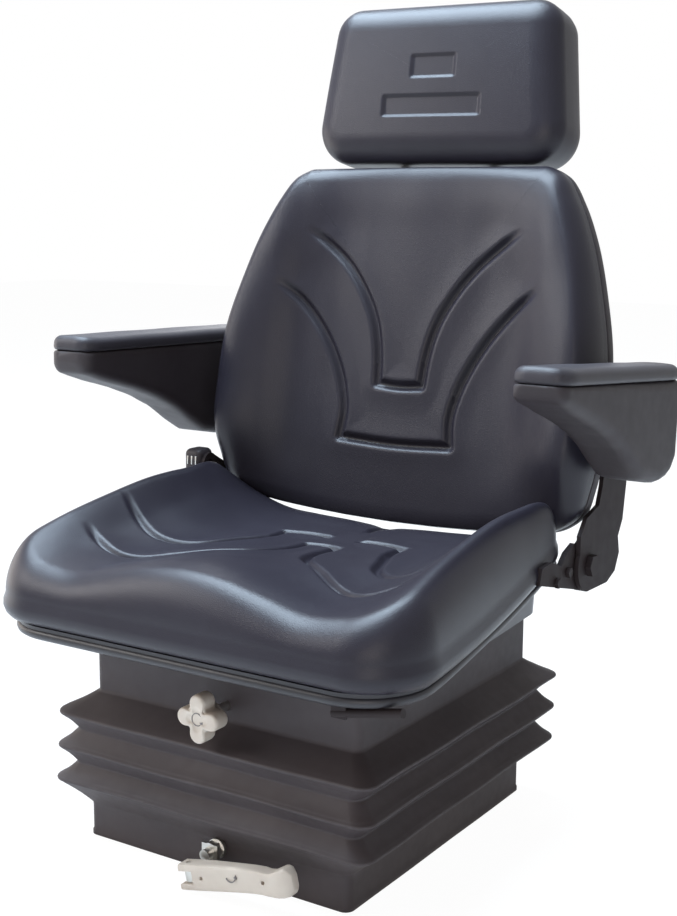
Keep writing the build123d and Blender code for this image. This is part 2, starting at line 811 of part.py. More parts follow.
# Hinge bracket bolted to the side of the pan
def make_bracket():
    low = hinge_z - hinge_r
    points = [(60, 288), (66, 305), (90, 307), (114, 298), (128, 310), (148, 317)]
    points += [(hinge_y, hinge_z), (hinge_y, low)]
    plate = side_profile(points, bracket_x, bracket_x + bracket_thick)
    plate += rod_x(bracket_x, bracket_x + bracket_thick, hinge_y, hinge_z, hinge_r)
    plate -= rod_x(bracket_x - 1, bracket_x + bracket_thick + 1, hinge_y, hinge_z, hinge_pin_r + running_gap)
    for y in bracket_bolt_y:
        z = rim_height(y) + bracket_bolt_up
        plate -= rod_x(bracket_x - 1, bracket_x + bracket_thick + 1, y, z, bracket_bolt_r + running_gap)
    return plate


def lip_side_x(y):
    return pan_front_half - side_slope * (y - pan_front)


def make_bracket_bolts():
    bolts = []
    outside = bracket_x + bracket_thick
    for y in bracket_bolt_y:
        z = rim_height(y) + bracket_bolt_up
        lip = lip_side_x(y)
        nut = lip - lip_width - pan_thick - 0.6
        bolt = rod_x(nut - 6, outside + 1, y, z, bracket_bolt_r)
        bolt += hex_x(outside, outside + 4.5, y, z, 10)
        bolt += rod_x(lip + 0.4, bracket_x, y, z, bracket_bolt_r + 2.4)
        bolt += hex_x(nut - 5, nut, y, z, 10)
        bolts.append(bolt)
        bolts.append(mirror(bolt, about=Plane.YZ))
    return together(bolts)


def make_hinge_pin():
    start = bracket_x - 6
    end = arm_x + arm_plate + 7
    pin = rod_x(start, end, hinge_y, hinge_z, hinge_pin_r)
    pin += rod_x(start - 4, bracket_x - 0.3, hinge_y, hinge_z, hinge_pin_r + 5)
    pin += rod_x(bracket_x + bracket_thick + 0.2, arm_x - 0.2, hinge_y, hinge_z, hinge_pin_r + 6)
    return pin + hex_x(arm_x + arm_plate + 0.3, end, hinge_y, hinge_z, 22)


# Back arm: a pressed blade from the hinge up behind the shell, with a flange to it
def make_back_arm():
    points = [
        (hinge_y - 26, hinge_z + 16), (150, 325), (166, 343), (198, 352), (206, 372), (210, 391), (216, 418),
        (rest_pivot_y - 21, rest_pivot_z), (rest_pivot_y, rest_pivot_z + 14), (258, 446), (272, 410), (277, 369),
        (269, 324), (257, 306), (262, 286), (251, 266), (228, 257), (hinge_y + 4, hinge_z - hinge_r),
    ]
    plate = side_profile(points, arm_x, arm_x + arm_plate)
    plate += rod_x(arm_x, arm_x + arm_plate, hinge_y, hinge_z, hinge_r)
    plate += rod_x(arm_x, arm_x + arm_plate, rest_pivot_y, rest_pivot_z, 14)
    depth = back_thick + shell_depth
    flange = lean(box(200, arm_x + arm_plate, depth, depth + arm_plate, -4, 38))
    plate += flange
    plate -= rod_x(arm_x - 1, arm_x + arm_plate + 1, hinge_y, hinge_z, hinge_pin_r + running_gap)
    plate -= rod_x(arm_x - 1, arm_x + arm_plate + 1, rest_pivot_y, rest_pivot_z, rest_pivot_r + running_gap)
    for v in (5, 29):
        plate -= lean(rod_y(depth - 1, depth + arm_plate + 1, 222, v, 4 + running_gap))
    return plate


def lean(shape):
    return Pos(0, back_y, back_z) * Rot(-back_tilt, 0, 0) * shape


# Backrest outline in its own leaning plane
def back_outline(grow):
    side = [(165, back_top), (183, 318), (203, 290), (222, 252), (244, 182), (256, 120), (257, 60)]
    side += [(254, 0), (245, -32), (236, -66), (214, -84), (170, back_low)]
    right = [(x + grow, v + (grow if v > 300 else -grow if v < -80 else 0)) for x, v in side]
    left = [(-x, v) for x, v in reversed(right)]
    half = Spline(*[(x, 0, v) for x, v in right])
    other = Spline(*[(x, 0, v) for x, v in left])
    return make_face([half, Line(half @ 1, other @ 0), other, Line(other @ 1, half @ 0)])


def back_front_solid(drop):
    xs = (0, 90, 150, 185, 222, 262)
    stations = {
        -95: (6, 6, 6, 5, 3, 8),
        -62: (2, 2, 1, -3, -9, -2),
        -30: (0, 0, -4, -20, -36, -20),
        60: (0, 0, -4, -24, -38, -18),
        180: (0, 0, -6, -26, -32, -8),
        270: (0, -1, -12, -22, -14, 6),
        335: (10, 6, 0, 2, 8, 16),
    }
    sections = []
    for v in (-95, -62, -30, 60, 180, 270, 335):
        depths = [d + drop for d in stations[v]]
        right = [(x, d, v) for x, d in zip(xs, depths)]
        left = [(-x, d, v) for x, d, v in reversed(right[1:])]
        front = Spline(*(left + right))
        edge = xs[-1]
        back = 60
        frame = Polyline(front @ 1, (edge, back, v), (-edge, back, v), front @ 0)
        sections.append(make_face([front] + frame.edges()))
    return loft(sections)


def back_grooves():
    inner = [(30, 66), (36, 110), (60, 172), (100, 218), (150, 250)]
    outer = [(76, 0), (80, 40), (94, 84), (118, 134), (160, 180)]
    faces = []
    for side in (-1, 1):
        for points in (inner, outer):
            line = Spline(*[(side * x, v, 0) for x, v in points])
            faces.append(trace(line, groove_width))
    faces.append(Pos(0, 66) * Rectangle(66, groove_width))
    faces.append(Pos(0, -2) * Rectangle(158, groove_width))
    return faces


def make_backrest_cushion():
    front = back_front_solid(0)
    outline = back_outline(0)
    prism = extrude(outline, amount=back_thick + 50, dir=(0, 1, 0))
    prism = Pos(0, -50, 0) * prism
    body = prism & front
    floor = back_front_solid(groove_depth)
    upright = Plane(origin=(0, 0, 0), x_dir=(1, 0, 0), z_dir=(0, -1, 0))
    for face in back_grooves():
        tool = extrude(upright * face, 60) + extrude(upright * face, -15)
        body -= tool - floor
    plug = extrude(back_outline(-shell_wall - 3), amount=shell_depth - shell_wall, dir=(0, 1, 0))
    body += Pos(0, back_thick, 0) * plug
    return lean(body)


def make_backrest_shell():
    outer = Pos(0, back_thick, 0) * extrude(back_outline(shell_over), amount=shell_depth, dir=(0, 1, 0))
    room = shell_depth - shell_wall + 1
    inner = Pos(0, back_thick - 1, 0) * extrude(back_outline(-shell_wall), amount=room, dir=(0, 1, 0))
    shell = outer - inner
    depth = back_thick + shell_depth
    for x in (-222, 222):
        for v in (5, 29):
            shell -= rod_y(depth - shell_wall - 1, depth + 1, x, v, 4 + running_gap)
    return lean(shell)


def make_shell_bolts():
    depth = back_thick + shell_depth + arm_plate
    bolts = []
    for x in (-222, 222):
        for v in (5, 29):
            bolt = rod_y(depth - arm_plate - shell_wall, depth + 0.5, x, v, 4)
            bolt += hex_y(depth, depth + 5, x, v, 13)
            bolts.append(lean(bolt))
    return together(bolts)


# Guide tubes on the back of the shell, and the headrest's two posts in them
def make_guides():
    guides = []
    depth = back_thick + shell_depth
    for x in (-post_x, post_x):
        tube = rod_z(guide_low, guide_high, x, post_y, guide_r)
        tube += box(x - guide_r, x + guide_r, depth, post_y, guide_low, guide_high)
        tube += box(x - guide_r - 14, x + guide_r + 14, depth, depth + 3, guide_low, guide_high)
        tube -= rod_z(guide_low - 1, guide_high + 1, x, post_y, post_r + running_gap)
        guides.append(lean(tube))
    return together(guides)


def make_posts():
    posts = []
    for x in (-post_x, post_x):
        posts.append(lean(rod_z(post_low, head_low + 60, x, post_y, post_r)))
    return together(posts)


def head_face(grow, y):
    low = head_low - grow
    high = head_high + grow
    plane = Plane(origin=(0, y, 0), x_dir=(1, 0, 0), z_dir=(0, -1, 0))
    wide = head_low_half + grow
    narrow = head_high_half + grow
    face = make_face(Polyline((-wide, low), (wide, low), (narrow, high), (-narrow, high), close=True))
    face = fillet(face.vertices().sort_by(Axis.Y)[2:], head_high_corner + grow)
    return plane * fillet(face.vertices().sort_by(Axis.Y)[:2], head_low_corner + grow)


def make_headrest():
    stations = [(0, -head_edge), (5, -16), (14, -7), (head_edge, 0)]
    stations += [(head_thick - 18, 0), (head_thick - 4, -8), (head_thick, -20)]
    sections = [head_face(grow, y) for y, grow in stations]
    head = loft(sections, ruled=True)
    head -= box(-65, 65, -1, 3, 388, 412)
    head -= box(-27, 27, -1, 3, 434, 460)
    for x in (-post_x, post_x):
        head -= rod_z(head_low - 10, head_low + 60, x, post_y, post_r + running_gap)
    return lean(head)


# An armrest's shape turned up at the front and raised on its pivot
def place_rest(shape, tilt, rise):
    centre = (0, rest_turn_y, rest_pivot_z)
    return Pos(0, 0, rise) * Pos(*centre) * Rot(-tilt, 0, 0) * Pos(*[-c for c in centre]) * shape


def make_rest_body(tilt, rise):
    top = rest_top - rest_pad
    points = [
        (rest_front + 4, top), (rest_front, top - 6), (rest_front + 3, 487), (-27, 476), (22, 463), (60, 450),
        (97, 433), (140, 406), (152, 398), (206, 392), (232, 398), (rest_rear - 4, 412), (rest_rear, 425),
        (rest_rear, top - 8), (rest_rear - 6, top),
    ]
    body = side_profile(points, rest_inner_x, rest_outer_x)
    edges = body.edges().filter_by(GeomType.LINE).filter_by(lambda e: abs(e.tangent_at(0).X) < 0.5)
    outer = [e for e in edges if e.center().X > rest_outer_x - 0.1 and e.center().Z < top - 0.5]
    body = place_rest(chamfer(outer, 5), tilt, rise)
    bore = rest_pivot_r + running_gap
    return body - rod_x(rest_inner_x - 1, rest_inner_x + 26, rest_pivot_y, rest_pivot_z, bore)


def make_rest_pad(tilt, rise):
    length = rest_rear - rest_front - 2
    middle = (rest_rear + rest_front) / 2
    width = rest_outer_x - rest_inner_x + 2 * rest_pad_over
    centre = (rest_inner_x + rest_outer_x) / 2
    low = rest_top - rest_pad
    face = Pos(centre, middle, low) * RectangleRounded(width - 2, length, 20)
    pad = extrude(face, rest_pad)
    top = pad.faces().sort_by(Axis.Z)[-1]
    return place_rest(fillet(top.edges(), 6), tilt, rise)


def make_rest_bolt():
    start = arm_x - 6
    bolt = rod_x(start, rest_inner_x + 25, rest_pivot_y, rest_pivot_z, rest_pivot_r)
    bolt += hex_x(start - 1, arm_x - 0.1, rest_pivot_y, rest_pivot_z, 19)
    spacer_from = arm_x + arm_plate + 0.1
    return bolt + rod_x(spacer_from, rest_inner_x - 0.3, rest_pivot_y, rest_pivot_z, rest_pivot_r + 6)


# Forward ear on the right-hand arm, and the recliner knob with its shaft in it
def add_ear(arm):
    outside = -arm_x - arm_plate
    points = [(156, 326), (176, 350), (recliner_y + 6, recliner_z + 11), (recliner_y - 9, recliner_z - 9)]
    ear = side_profile(points, outside, -arm_x)
    ear += rod_x(outside, -arm_x, recliner_y, recliner_z, recliner_shaft_r + 8)
    return arm + ear - rod_x(outside - 1, 1 - arm_x, recliner_y, recliner_z, recliner_shaft_r + running_gap)


def make_recliner_knob():
    outside = -arm_x - arm_plate - recliner_thick - 1
    face = Plane(origin=(outside, recliner_y, recliner_z), x_dir=(0, 1, 0), z_dir=(1, 0, 0))
    star = Circle(recliner_r - 4)
    for i in range(3):
        angle = math.radians(90 + 120 * i)
        star += Pos(9 * math.cos(angle), 9 * math.sin(angle)) * Circle(recliner_r - 9)
    knob = extrude(face * star, recliner_thick)
    knob += rod_x(-arm_x - arm_plate - 2, -arm_x + 2.5, recliner_y, recliner_z, recliner_shaft_r)
    return knob + rod_x(-arm_x + 0.3, -arm_x + 2.5, recliner_y, recliner_z, recliner_shaft_r + 3)


def mirrored(shape):
    return mirror(shape, about=Plane.YZ)


def build_base():
    save(make_base_tray(), "base_tray")
    for side, name in ((1, "left"), (-1, "right")):
        save(make_channel(side, low_pivot_z), "base_channel_" + name)
        save(make_channel(side, high_pivot_z), "upper_channel_" + name)
    low_pins = make_pivot_pins(outer_arm_x, low_pivot_z)
    save(together([low_pins, mirrored(low_pins)]), "lower_pivot_pins")
    save(make_bump_stops(), "bump_stops")
    save(make_clevis(damper_low_y, damper_low_z, base_wall), "damper_lower_clevis")
    save(make_spindle_bearing(), "spindle_bearing")
    save(make_bellows(), "bellows")


def build_scissor():
    hole = pivot_r + running_gap
    centre_fit = centre_pin_r + running_gap
    centre_loose = centre_pin_r + centre_slack
    outer = make_arm(outer_arm_x, arm_angle, fixed_pivot_y, low_pivot_z, centre_fit, hole, pivot_r)
    inner = make_arm(inner_arm_x, -arm_angle, fixed_pivot_y, high_pivot_z, centre_loose, hole, pivot_r)
    save(outer, "outer_arm_left")
    save(mirrored(outer), "outer_arm_right")
    save(inner, "inner_arm_left")
    save(mirrored(inner), "inner_arm_right")
    save(make_axle(outer_arm_x, roller_y, high_pivot_z), "outer_axle")
    save(make_axle(inner_arm_x, roller_y, low_pivot_z), "inner_axle")
    inside = inner_arm_x - arm_thick / 2
    outside = outer_arm_x + arm_thick / 2
    centre = rod_x(inside - 4, outside, centre_y, centre_z, centre_pin_r)
    centre += rod_x(inside - 4, inside - 0.5, centre_y, centre_z, centre_pin_r + 4)
    centre += rod_x(outside, outside + 3, centre_y, centre_z, centre_pin_r + 4)
    save(together([centre, mirrored(centre)]), "centre_pins")
    for name, z in (("lower_rollers", low_pivot_z), ("upper_rollers", high_pivot_z)):
        roller = make_rollers(roller_y, z)
        save(together([roller, mirrored(roller)]), name)
    high_pins = make_pivot_pins(inner_arm_x, high_pivot_z)
    save(together([high_pins, mirrored(high_pins)]), "upper_pivot_pins")
    save(make_damper_tube(), "damper_tube")
    save(make_damper_rod(), "damper_rod")
    save(make_clevis(damper_high_y, damper_high_z, plate_low), "damper_upper_clevis")


def build_adjusters():
    save(make_spindle(), "weight_spindle")
    save(make_carriage(), "spring_carriage")
    save(make_spring(spring_x), "tension_spring_left")
    save(make_spring(-spring_x), "tension_spring_right")
    save(make_crank(), "crank_plate")
    save(make_handle(), "weight_handle")
    save(make_handle_pin(), "handle_pin")
    save(make_star_knob(), "star_knob")
    save(make_knob_shaft(), "knob_shaft")


def build_seat():
    save(make_upper_frame(), "upper_frame")
    for x, name in ((rail_x, "left"), (-rail_x, "right")):
        save(make_lower_rail(x), "lower_rail_" + name)
        save(make_upper_rail(x), "upper_rail_" + name)
    save(make_slide_lever(), "slide_lever")
    save(make_lever_pin(), "lever_pin")
    save(make_seat_pan(), "seat_pan")
    save(make_seat_cushion(), "seat_cushion")
    bracket = make_bracket()
    save(bracket, "hinge_bracket_left")
    save(mirrored(bracket), "hinge_bracket_right")
    save(make_bracket_bolts(), "bracket_bolts")


def build_back():
    arm = make_back_arm()
    pin = make_hinge_pin()
    save(arm, "back_arm_left")
    save(add_ear(mirrored(arm)), "back_arm_right")
    save(together([pin, mirrored(pin)]), "hinge_pins")
    save(make_backrest_cushion(), "backrest_cushion")
    save(make_backrest_shell(), "backrest_shell")
    save(make_shell_bolts(), "shell_bolts")
    save(make_guides(), "headrest_guides")
    save(make_posts(), "headrest_posts")
    save(make_headrest(), "headrest_cushion")


def build_armrests():
    bolt = make_rest_bolt()
    save(make_rest_body(left_rest_tilt, left_rest_rise), "armrest_body_left")
    save(make_rest_pad(left_rest_tilt, left_rest_rise), "armrest_pad_left")
    save(bolt, "armrest_bolt_left")
    save(mirrored(make_rest_body(right_rest_tilt, right_rest_rise)), "armrest_body_right")
    save(mirrored(make_rest_pad(right_rest_tilt, right_rest_rise)), "armrest_pad_right")
    save(mirrored(bolt), "armrest_bolt_right")
    save(make_recliner_knob(), "recliner_knob")


build_base()
build_scissor()
build_adjusters()
build_seat()
build_back()
build_armrests()
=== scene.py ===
import math
import bmesh
import bpy
import numpy as np
from mathutils import Matrix, Vector


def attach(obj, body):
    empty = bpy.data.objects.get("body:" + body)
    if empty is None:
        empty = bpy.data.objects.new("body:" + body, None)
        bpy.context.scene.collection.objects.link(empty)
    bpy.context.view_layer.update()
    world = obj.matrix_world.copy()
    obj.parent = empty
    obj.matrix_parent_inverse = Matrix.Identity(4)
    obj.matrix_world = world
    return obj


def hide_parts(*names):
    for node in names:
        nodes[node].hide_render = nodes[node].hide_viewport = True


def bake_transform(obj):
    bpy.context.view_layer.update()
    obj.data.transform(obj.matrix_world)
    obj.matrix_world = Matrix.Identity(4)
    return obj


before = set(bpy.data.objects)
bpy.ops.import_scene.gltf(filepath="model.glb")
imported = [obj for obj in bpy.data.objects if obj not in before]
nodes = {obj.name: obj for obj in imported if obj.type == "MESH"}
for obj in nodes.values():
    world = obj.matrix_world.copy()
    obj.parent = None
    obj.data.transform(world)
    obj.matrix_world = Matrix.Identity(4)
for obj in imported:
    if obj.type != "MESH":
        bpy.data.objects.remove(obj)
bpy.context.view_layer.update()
mm = 0.001


# Mesh helpers
def addObject(name, data):
    item = bpy.data.objects.new(name, data)
    bpy.context.scene.collection.objects.link(item)
    return item


def meshPiece(name, points, faces, material, smooth=True):
    mesh = bpy.data.meshes.new(name)
    mesh.from_pydata([tuple(p) for p in points], [], faces)
    mesh.update()
    if smooth:
        mesh.shade_smooth()
    mesh.materials.append(material)
    return addObject(name, mesh)


def finishModifiers(piece):
    graph = bpy.context.evaluated_depsgraph_get()
    mesh = bpy.data.meshes.new_from_object(piece.evaluated_get(graph), depsgraph=graph)
    piece.modifiers.clear()
    piece.data = mesh
    return piece


def place(piece, body, slot, *replaced):
    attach(piece, body)
    if replaced:
        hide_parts(*replaced)
    return piece


def placeSkin(name, points, faces, material, body, slot, node):
    piece = meshPiece(name, points, faces, material)
    place(piece, body, slot, node)


def cleanNormals(piece):
    shape = bmesh.new()
    shape.from_mesh(piece.data)
    bmesh.ops.remove_doubles(shape, verts=shape.verts, dist=0.00001)
    bmesh.ops.recalc_face_normals(shape, faces=shape.faces)
    shape.to_mesh(piece.data)
    shape.free()


# Faces between equal rings of points, with both ends closed
def ringFaces(rings, count):
    faces = []
    for i in range(rings - 1):
        for k in range(count):
            a, b = i * count + k, i * count + (k + 1) % count
            faces.append((a, b, b + count, a + count))
    return faces + [tuple(reversed(range(count))), tuple(range((rings - 1) * count, rings * count))]


def softStep(t):
    t = np.clip(t, 0, 1)
    return t * t * (3 - 2 * t)


# Cubic curve through one row of heights, and through a table of rows
def cubicBlend(a, b, da, db, t):
    return a + t * da + t * t * (3 * (b - a) - 2 * da - db) + t ** 3 * (2 * (a - b) + da + db)


def spanAt(xs, at):
    i = np.clip(np.searchsorted(xs, at) - 1, 0, len(xs) - 2)
    gap = xs[i + 1] - xs[i]
    return i, gap, (at - xs[i]) / gap


def cubicThrough(xs, values, at):
    xs = np.asarray(xs, float)
    values = np.asarray(values, float)
    slopes = np.gradient(values, xs, axis=0)
    i, gap, t = spanAt(xs, np.clip(at, xs[0], xs[-1]))
    return cubicBlend(values[i], values[i + 1], slopes[i] * gap, slopes[i + 1] * gap, t)


def mirrored(row, sign=1):
    row = np.array(row, float)
    return np.concatenate([sign * row[:0:-1], row])


def tableHeight(across, along, table, x, y):
    heights = np.array([cubicThrough(mirrored(across, -1), mirrored(row), x) for row in table])
    along = np.array(along, float)
    slopes = np.gradient(heights, along, axis=0)
    i, gap, t = spanAt(along, np.clip(y, along[0], along[-1]))
    column = np.arange(len(x))
    ends = heights[i, column], heights[i + 1, column]
    return cubicBlend(*ends, slopes[i, column] * gap, slopes[i + 1, column] * gap, t)


def reachAlong(points):
    return np.concatenate([[0], np.cumsum(np.linalg.norm(np.diff(points, axis=0), axis=1))])


# Moulded grooves: depth of the groove network at each point of a surface
def smoothLine(points, step=6.0):
    points = np.array(points, float)
    spans = reachAlong(points)
    at = np.linspace(0, spans[-1], max(3, int(spans[-1] / step)))
    return np.stack([cubicThrough(spans, points[:, k], at) for k in range(points.shape[1])], 1)


def grooveDepth(x, y, grooves, depth, half, puff):
    sink = np.zeros(len(x))
    near = np.full(len(x), 1e9)
    for points, fadeStart, fadeEnd in grooves:
        line = smoothLine(points)
        reach = reachAlong(line)
        best = np.full(len(x), 1e9)
        where = np.zeros(len(x))
        for k in range(len(line) - 1):
            ax, ay = line[k]
            dx, dy = line[k + 1] - line[k]
            t = np.clip(((x - ax) * dx + (y - ay) * dy) / (dx * dx + dy * dy), 0, 1)
            d = np.hypot(x - ax - t * dx, y - ay - t * dy)
            closer = d < best
            best = np.where(closer, d, best)
            where = np.where(closer, reach[k] + t * math.hypot(dx, dy), where)
        weight = np.ones(len(x))
        if fadeStart:
            weight *= softStep(where / fadeStart)
        if fadeEnd:
            weight *= softStep((reach[-1] - where) / fadeEnd)
        sink = np.maximum(sink, weight * np.exp(-(best / half) ** 2.6))
        near = np.minimum(near, best + 30 * (1 - weight))
    return depth * sink - puff * np.exp(-(near / 20) ** 2) * (1 - sink)


# Closed outline with its four corners, sampled evenly along each side
def sampledOutline(points, corners, count):
    points = np.array(points, float)
    loop = np.vstack([points, points[:1]])
    reach = reachAlong(loop)
    marks = [reach[int(np.argmin(np.linalg.norm(points - np.array(c), axis=1)))] for c in corners]
    out = []
    for k in range(4):
        start = marks[k]
        end = marks[(k + 1) % 4]
        if end <= start:
            end += reach[-1]
        for t in np.linspace(start, end, 2 * count, endpoint=False):
            t %= reach[-1]
            out.append([np.interp(t, reach, loop[:, 0]), np.interp(t, reach, loop[:, 1])])
    out = np.array(out)
    for _ in range(3):
        out = 0.5 * out + 0.25 * (np.roll(out, 1, 0) + np.roll(out, -1, 0))
    tangent = np.roll(out, -1, 0) - np.roll(out, 1, 0)
    tangent /= np.linalg.norm(tangent, axis=1)[:, None]
    return out, np.stack([tangent[:, 1], -tangent[:, 0]], 1)


def roundedPolygon(corners, radii, step=5):
    points = []
    n = len(corners)
    for i in range(n):
        before, here, after = (np.array(corners[(i + k) % n], float) for k in (-1, 0, 1))
        u = (before - here) / np.linalg.norm(before - here)
        v = (after - here) / np.linalg.norm(after - here)
        turn = math.acos(np.clip(np.dot(u, v), -1, 1))
        back = radii[i] / math.tan(turn / 2)
        centre = here + (u + v) / np.linalg.norm(u + v) * radii[i] / math.sin(turn / 2)
        a = here + u * back - centre
        b = here + v * back - centre
        sweep = math.pi - turn
        steps = max(2, int(radii[i] * sweep / step))
        for k in range(steps + 1):
            t = k / steps
            d = (math.sin((1 - t) * sweep) * a + math.sin(t * sweep) * b) / math.sin(sweep)
            points.append(centre + d)
    return points


def taperedOutline(front, rear, frontHalf, rearHalf, frontCorner, rearCorner, count, step=5):
    corners = [(frontHalf, front), (rearHalf, rear), (-rearHalf, rear), (-frontHalf, front)]
    radii = [frontCorner, rearCorner, rearCorner, frontCorner]
    return sampledOutline(roundedPolygon(corners, radii, step), corners, count)


# Groove table: points, fade at the start, fade at the end, and whether it has a mirrored twin
def grooveLines(table):
    lines = []
    for points, fadeStart, fadeEnd, paired in table:
        lines.append((points, fadeStart, fadeEnd))
        if paired:
            lines.append(([(-x, y) for x, y in points], fadeStart, fadeEnd))
    return lines


# A padded form: a fine grid on top, a rolled edge, side rows, and a closed underside
def padShape(outline, normals, count, roll, rollSteps, crown, edgeLevel, lowerRows):
    total = len(outline)
    roll = np.reshape(roll, (-1, 1))

    def levelOf(level):
        return level(outline[:, 0], outline[:, 1]) if callable(level) else np.full(total, float(level))

    inner = outline - normals * roll
    centre = inner.mean(0)
    looped = np.vstack([inner, inner[:1]])
    span = 2 * count + 1
    flat = np.zeros((span * span, 2))
    ids = {}
    for i in range(-count, count + 1):
        for j in range(-count, count + 1):
            k = max(abs(i), abs(j))
            row = (i + count) * span + j + count
            if k == 0:
                flat[row] = (0, 0)
                continue
            if i == k and j < k:
                t = (j + k) / (2 * k)
            elif j == k and i > -k:
                t = 1 + (k - i) / (2 * k)
            elif i == -k and j > -k:
                t = 2 + (k - j) / (2 * k)
            else:
                t = 3 + (i + k) / (2 * k)
            flat[row] = (k / count, t * 2 * count)
            if k == count:
                ids[int(round(t * 2 * count)) % total] = row
    at = flat[:, 1] % total
    low = at.astype(int)
    part = (at - low)[:, None]
    edge = looped[low] * (1 - part) + looped[low + 1] * part
    base = centre + (edge - centre) * flat[:, :1]
    points = [np.column_stack([base, crown(base[:, 0], base[:, 1])])]
    faces = []
    for i in range(span - 1):
        for j in range(span - 1):
            a = i * span + j
            faces.append((a, a + span, a + span + 1, a + 1))
    ring = [ids[k] for k in range(total)]
    start = span * span
    rows = []
    for s in range(1, rollSteps + 1):
        turn = s / rollSteps * math.pi / 2
        spot = outline - normals * roll * (1 - math.sin(turn))
        top, level = crown(spot[:, 0], spot[:, 1]), levelOf(edgeLevel)
        rows.append(np.column_stack([spot, level + (top - level) * math.cos(turn)]))
    for outset, level in lowerRows:
        rows.append(np.column_stack([outline + normals * outset, levelOf(level)]))
    for row in rows:
        points.append(row)
        now = [start + k for k in range(total)]
        for k in range(total):
            m = (k + 1) % total
            faces.append((ring[k], now[k], now[m], ring[m]))
        ring = now
        start += total
    faces.append(tuple(reversed(ring)))
    return np.vstack(points), faces


# Nodes for materials
def nodeMaterial(name):
    material = bpy.data.materials.new(name)
    material.use_nodes = True
    shader = material.node_tree.nodes["Principled BSDF"]
    return material, material.node_tree, shader


def addNode(tree, kind, **settings):
    node = tree.nodes.new(kind)
    for key, value in settings.items():
        if hasattr(node, key):
            setattr(node, key, value)
        else:
            node.inputs[key.replace("_", " ")].default_value = value
    return node


def joined(tree, kind, sources, **settings):
    node = addNode(tree, kind, **settings)
    for key, source in sources.items():
        tree.links.new(source, node.inputs[key])
    return node


def noiseField(tree, where, scale, detail):
    return joined(tree, "ShaderNodeTexNoise", {"Vector": where.outputs["Object"]}, Scale=scale, Detail=detail)


def colourMix(tree, factor, first, second, low=0.3, high=0.7):
    ramp = addNode(tree, "ShaderNodeMapRange")
    ramp.inputs["From Min"].default_value = low
    ramp.inputs["From Max"].default_value = high
    tree.links.new(factor, ramp.inputs["Value"])
    mix = addNode(tree, "ShaderNodeMix", data_type="RGBA")
    tree.links.new(ramp.outputs["Result"], mix.inputs["Factor"])
    mix.inputs[6].default_value = (*first, 1)
    mix.inputs[7].default_value = (*second, 1)
    return mix.outputs[2]


def roughnessRange(tree, factor, low, high):
    ramp = addNode(tree, "ShaderNodeMapRange")
    ramp.inputs["To Min"].default_value = low
    ramp.inputs["To Max"].default_value = high
    tree.links.new(factor, ramp.inputs["Value"])
    return ramp.outputs["Result"]


def bumpChain(tree, heights):
    normal = None
    for height, strength, distance in heights:
        bump = addNode(tree, "ShaderNodeBump", Strength=strength, Distance=distance)
        tree.links.new(height, bump.inputs["Height"])
        if normal:
            tree.links.new(normal, bump.inputs["Normal"])
        normal = bump.outputs["Normal"]
    return normal


def dressShader(tree, shader, colour, gloss, bumps, metallic=0.0, specular=0.5):
    tree.links.new(colour, shader.inputs["Base Color"])
    tree.links.new(gloss, shader.inputs["Roughness"])
    tree.links.new(bumpChain(tree, bumps), shader.inputs["Normal"])
    shader.inputs["Metallic"].default_value = metallic
    shader.inputs["Specular IOR Level"].default_value = specular


def surfaceMaterial(name, dark, pale, rough, grain=900, grainDepth=0.00012, cloud=7, specular=0.5):
    material, tree, shader = nodeMaterial(name)
    where = addNode(tree, "ShaderNodeTexCoord")
    clouds = noiseField(tree, where, cloud, 4)
    fine = noiseField(tree, where, grain, 3)
    patches = noiseField(tree, where, cloud * 9, 5)
    colour = colourMix(tree, clouds.outputs["Fac"], dark, pale)
    gloss = roughnessRange(tree, patches.outputs["Fac"], *rough)
    dressShader(tree, shader, colour, gloss, [(fine.outputs["Fac"], 0.5, grainDepth)], specular=specular)
    return material


# Grained vinyl: Voronoi cells bent a little by noise, with pores between
def vinylMaterial(name, dark, pale, rough):
    material, tree, shader = nodeMaterial(name)
    where = addNode(tree, "ShaderNodeTexCoord")
    clouds = noiseField(tree, where, 5, 4)
    patches = noiseField(tree, where, 40, 5)
    pores = noiseField(tree, where, 1500, 2)
    warp = noiseField(tree, where, 260, 2)
    bend = joined(
        tree, "ShaderNodeMixRGB", {1: where.outputs["Object"], 2: warp.outputs["Color"]},
        blend_type="LINEAR_LIGHT", Fac=0.0016,
    )
    cells = joined(
        tree, "ShaderNodeTexVoronoi", {"Vector": bend.outputs[0]}, feature="DISTANCE_TO_EDGE", Scale=620.0,
    )
    colour = colourMix(tree, clouds.outputs["Fac"], dark, pale)
    gloss = roughnessRange(tree, patches.outputs["Fac"], *rough)
    bumps = [(cells.outputs["Distance"], 0.32, 0.0006), (pores.outputs["Fac"], 0.25, 0.00008)]
    dressShader(tree, shader, colour, gloss, bumps, specular=0.29)
    return material


# Metal brushed along X
def steelMaterial(name, dark, pale, rough):
    material, tree, shader = nodeMaterial(name)
    where = addNode(tree, "ShaderNodeTexCoord")
    stretch = joined(tree, "ShaderNodeMapping", {"Vector": where.outputs["Object"]}, Scale=(30, 900, 900))
    brushed = joined(tree, "ShaderNodeTexNoise", {"Vector": stretch.outputs["Vector"]}, Scale=1.0, Detail=3.0)
    patches = noiseField(tree, where, 60, 4)
    colour = colourMix(tree, patches.outputs["Fac"], dark, pale)
    gloss = roughnessRange(tree, brushed.outputs["Fac"], *rough)
    dressShader(tree, shader, colour, gloss, [(brushed.outputs["Fac"], 0.2, 0.00006)], metallic=1.0)
    return material


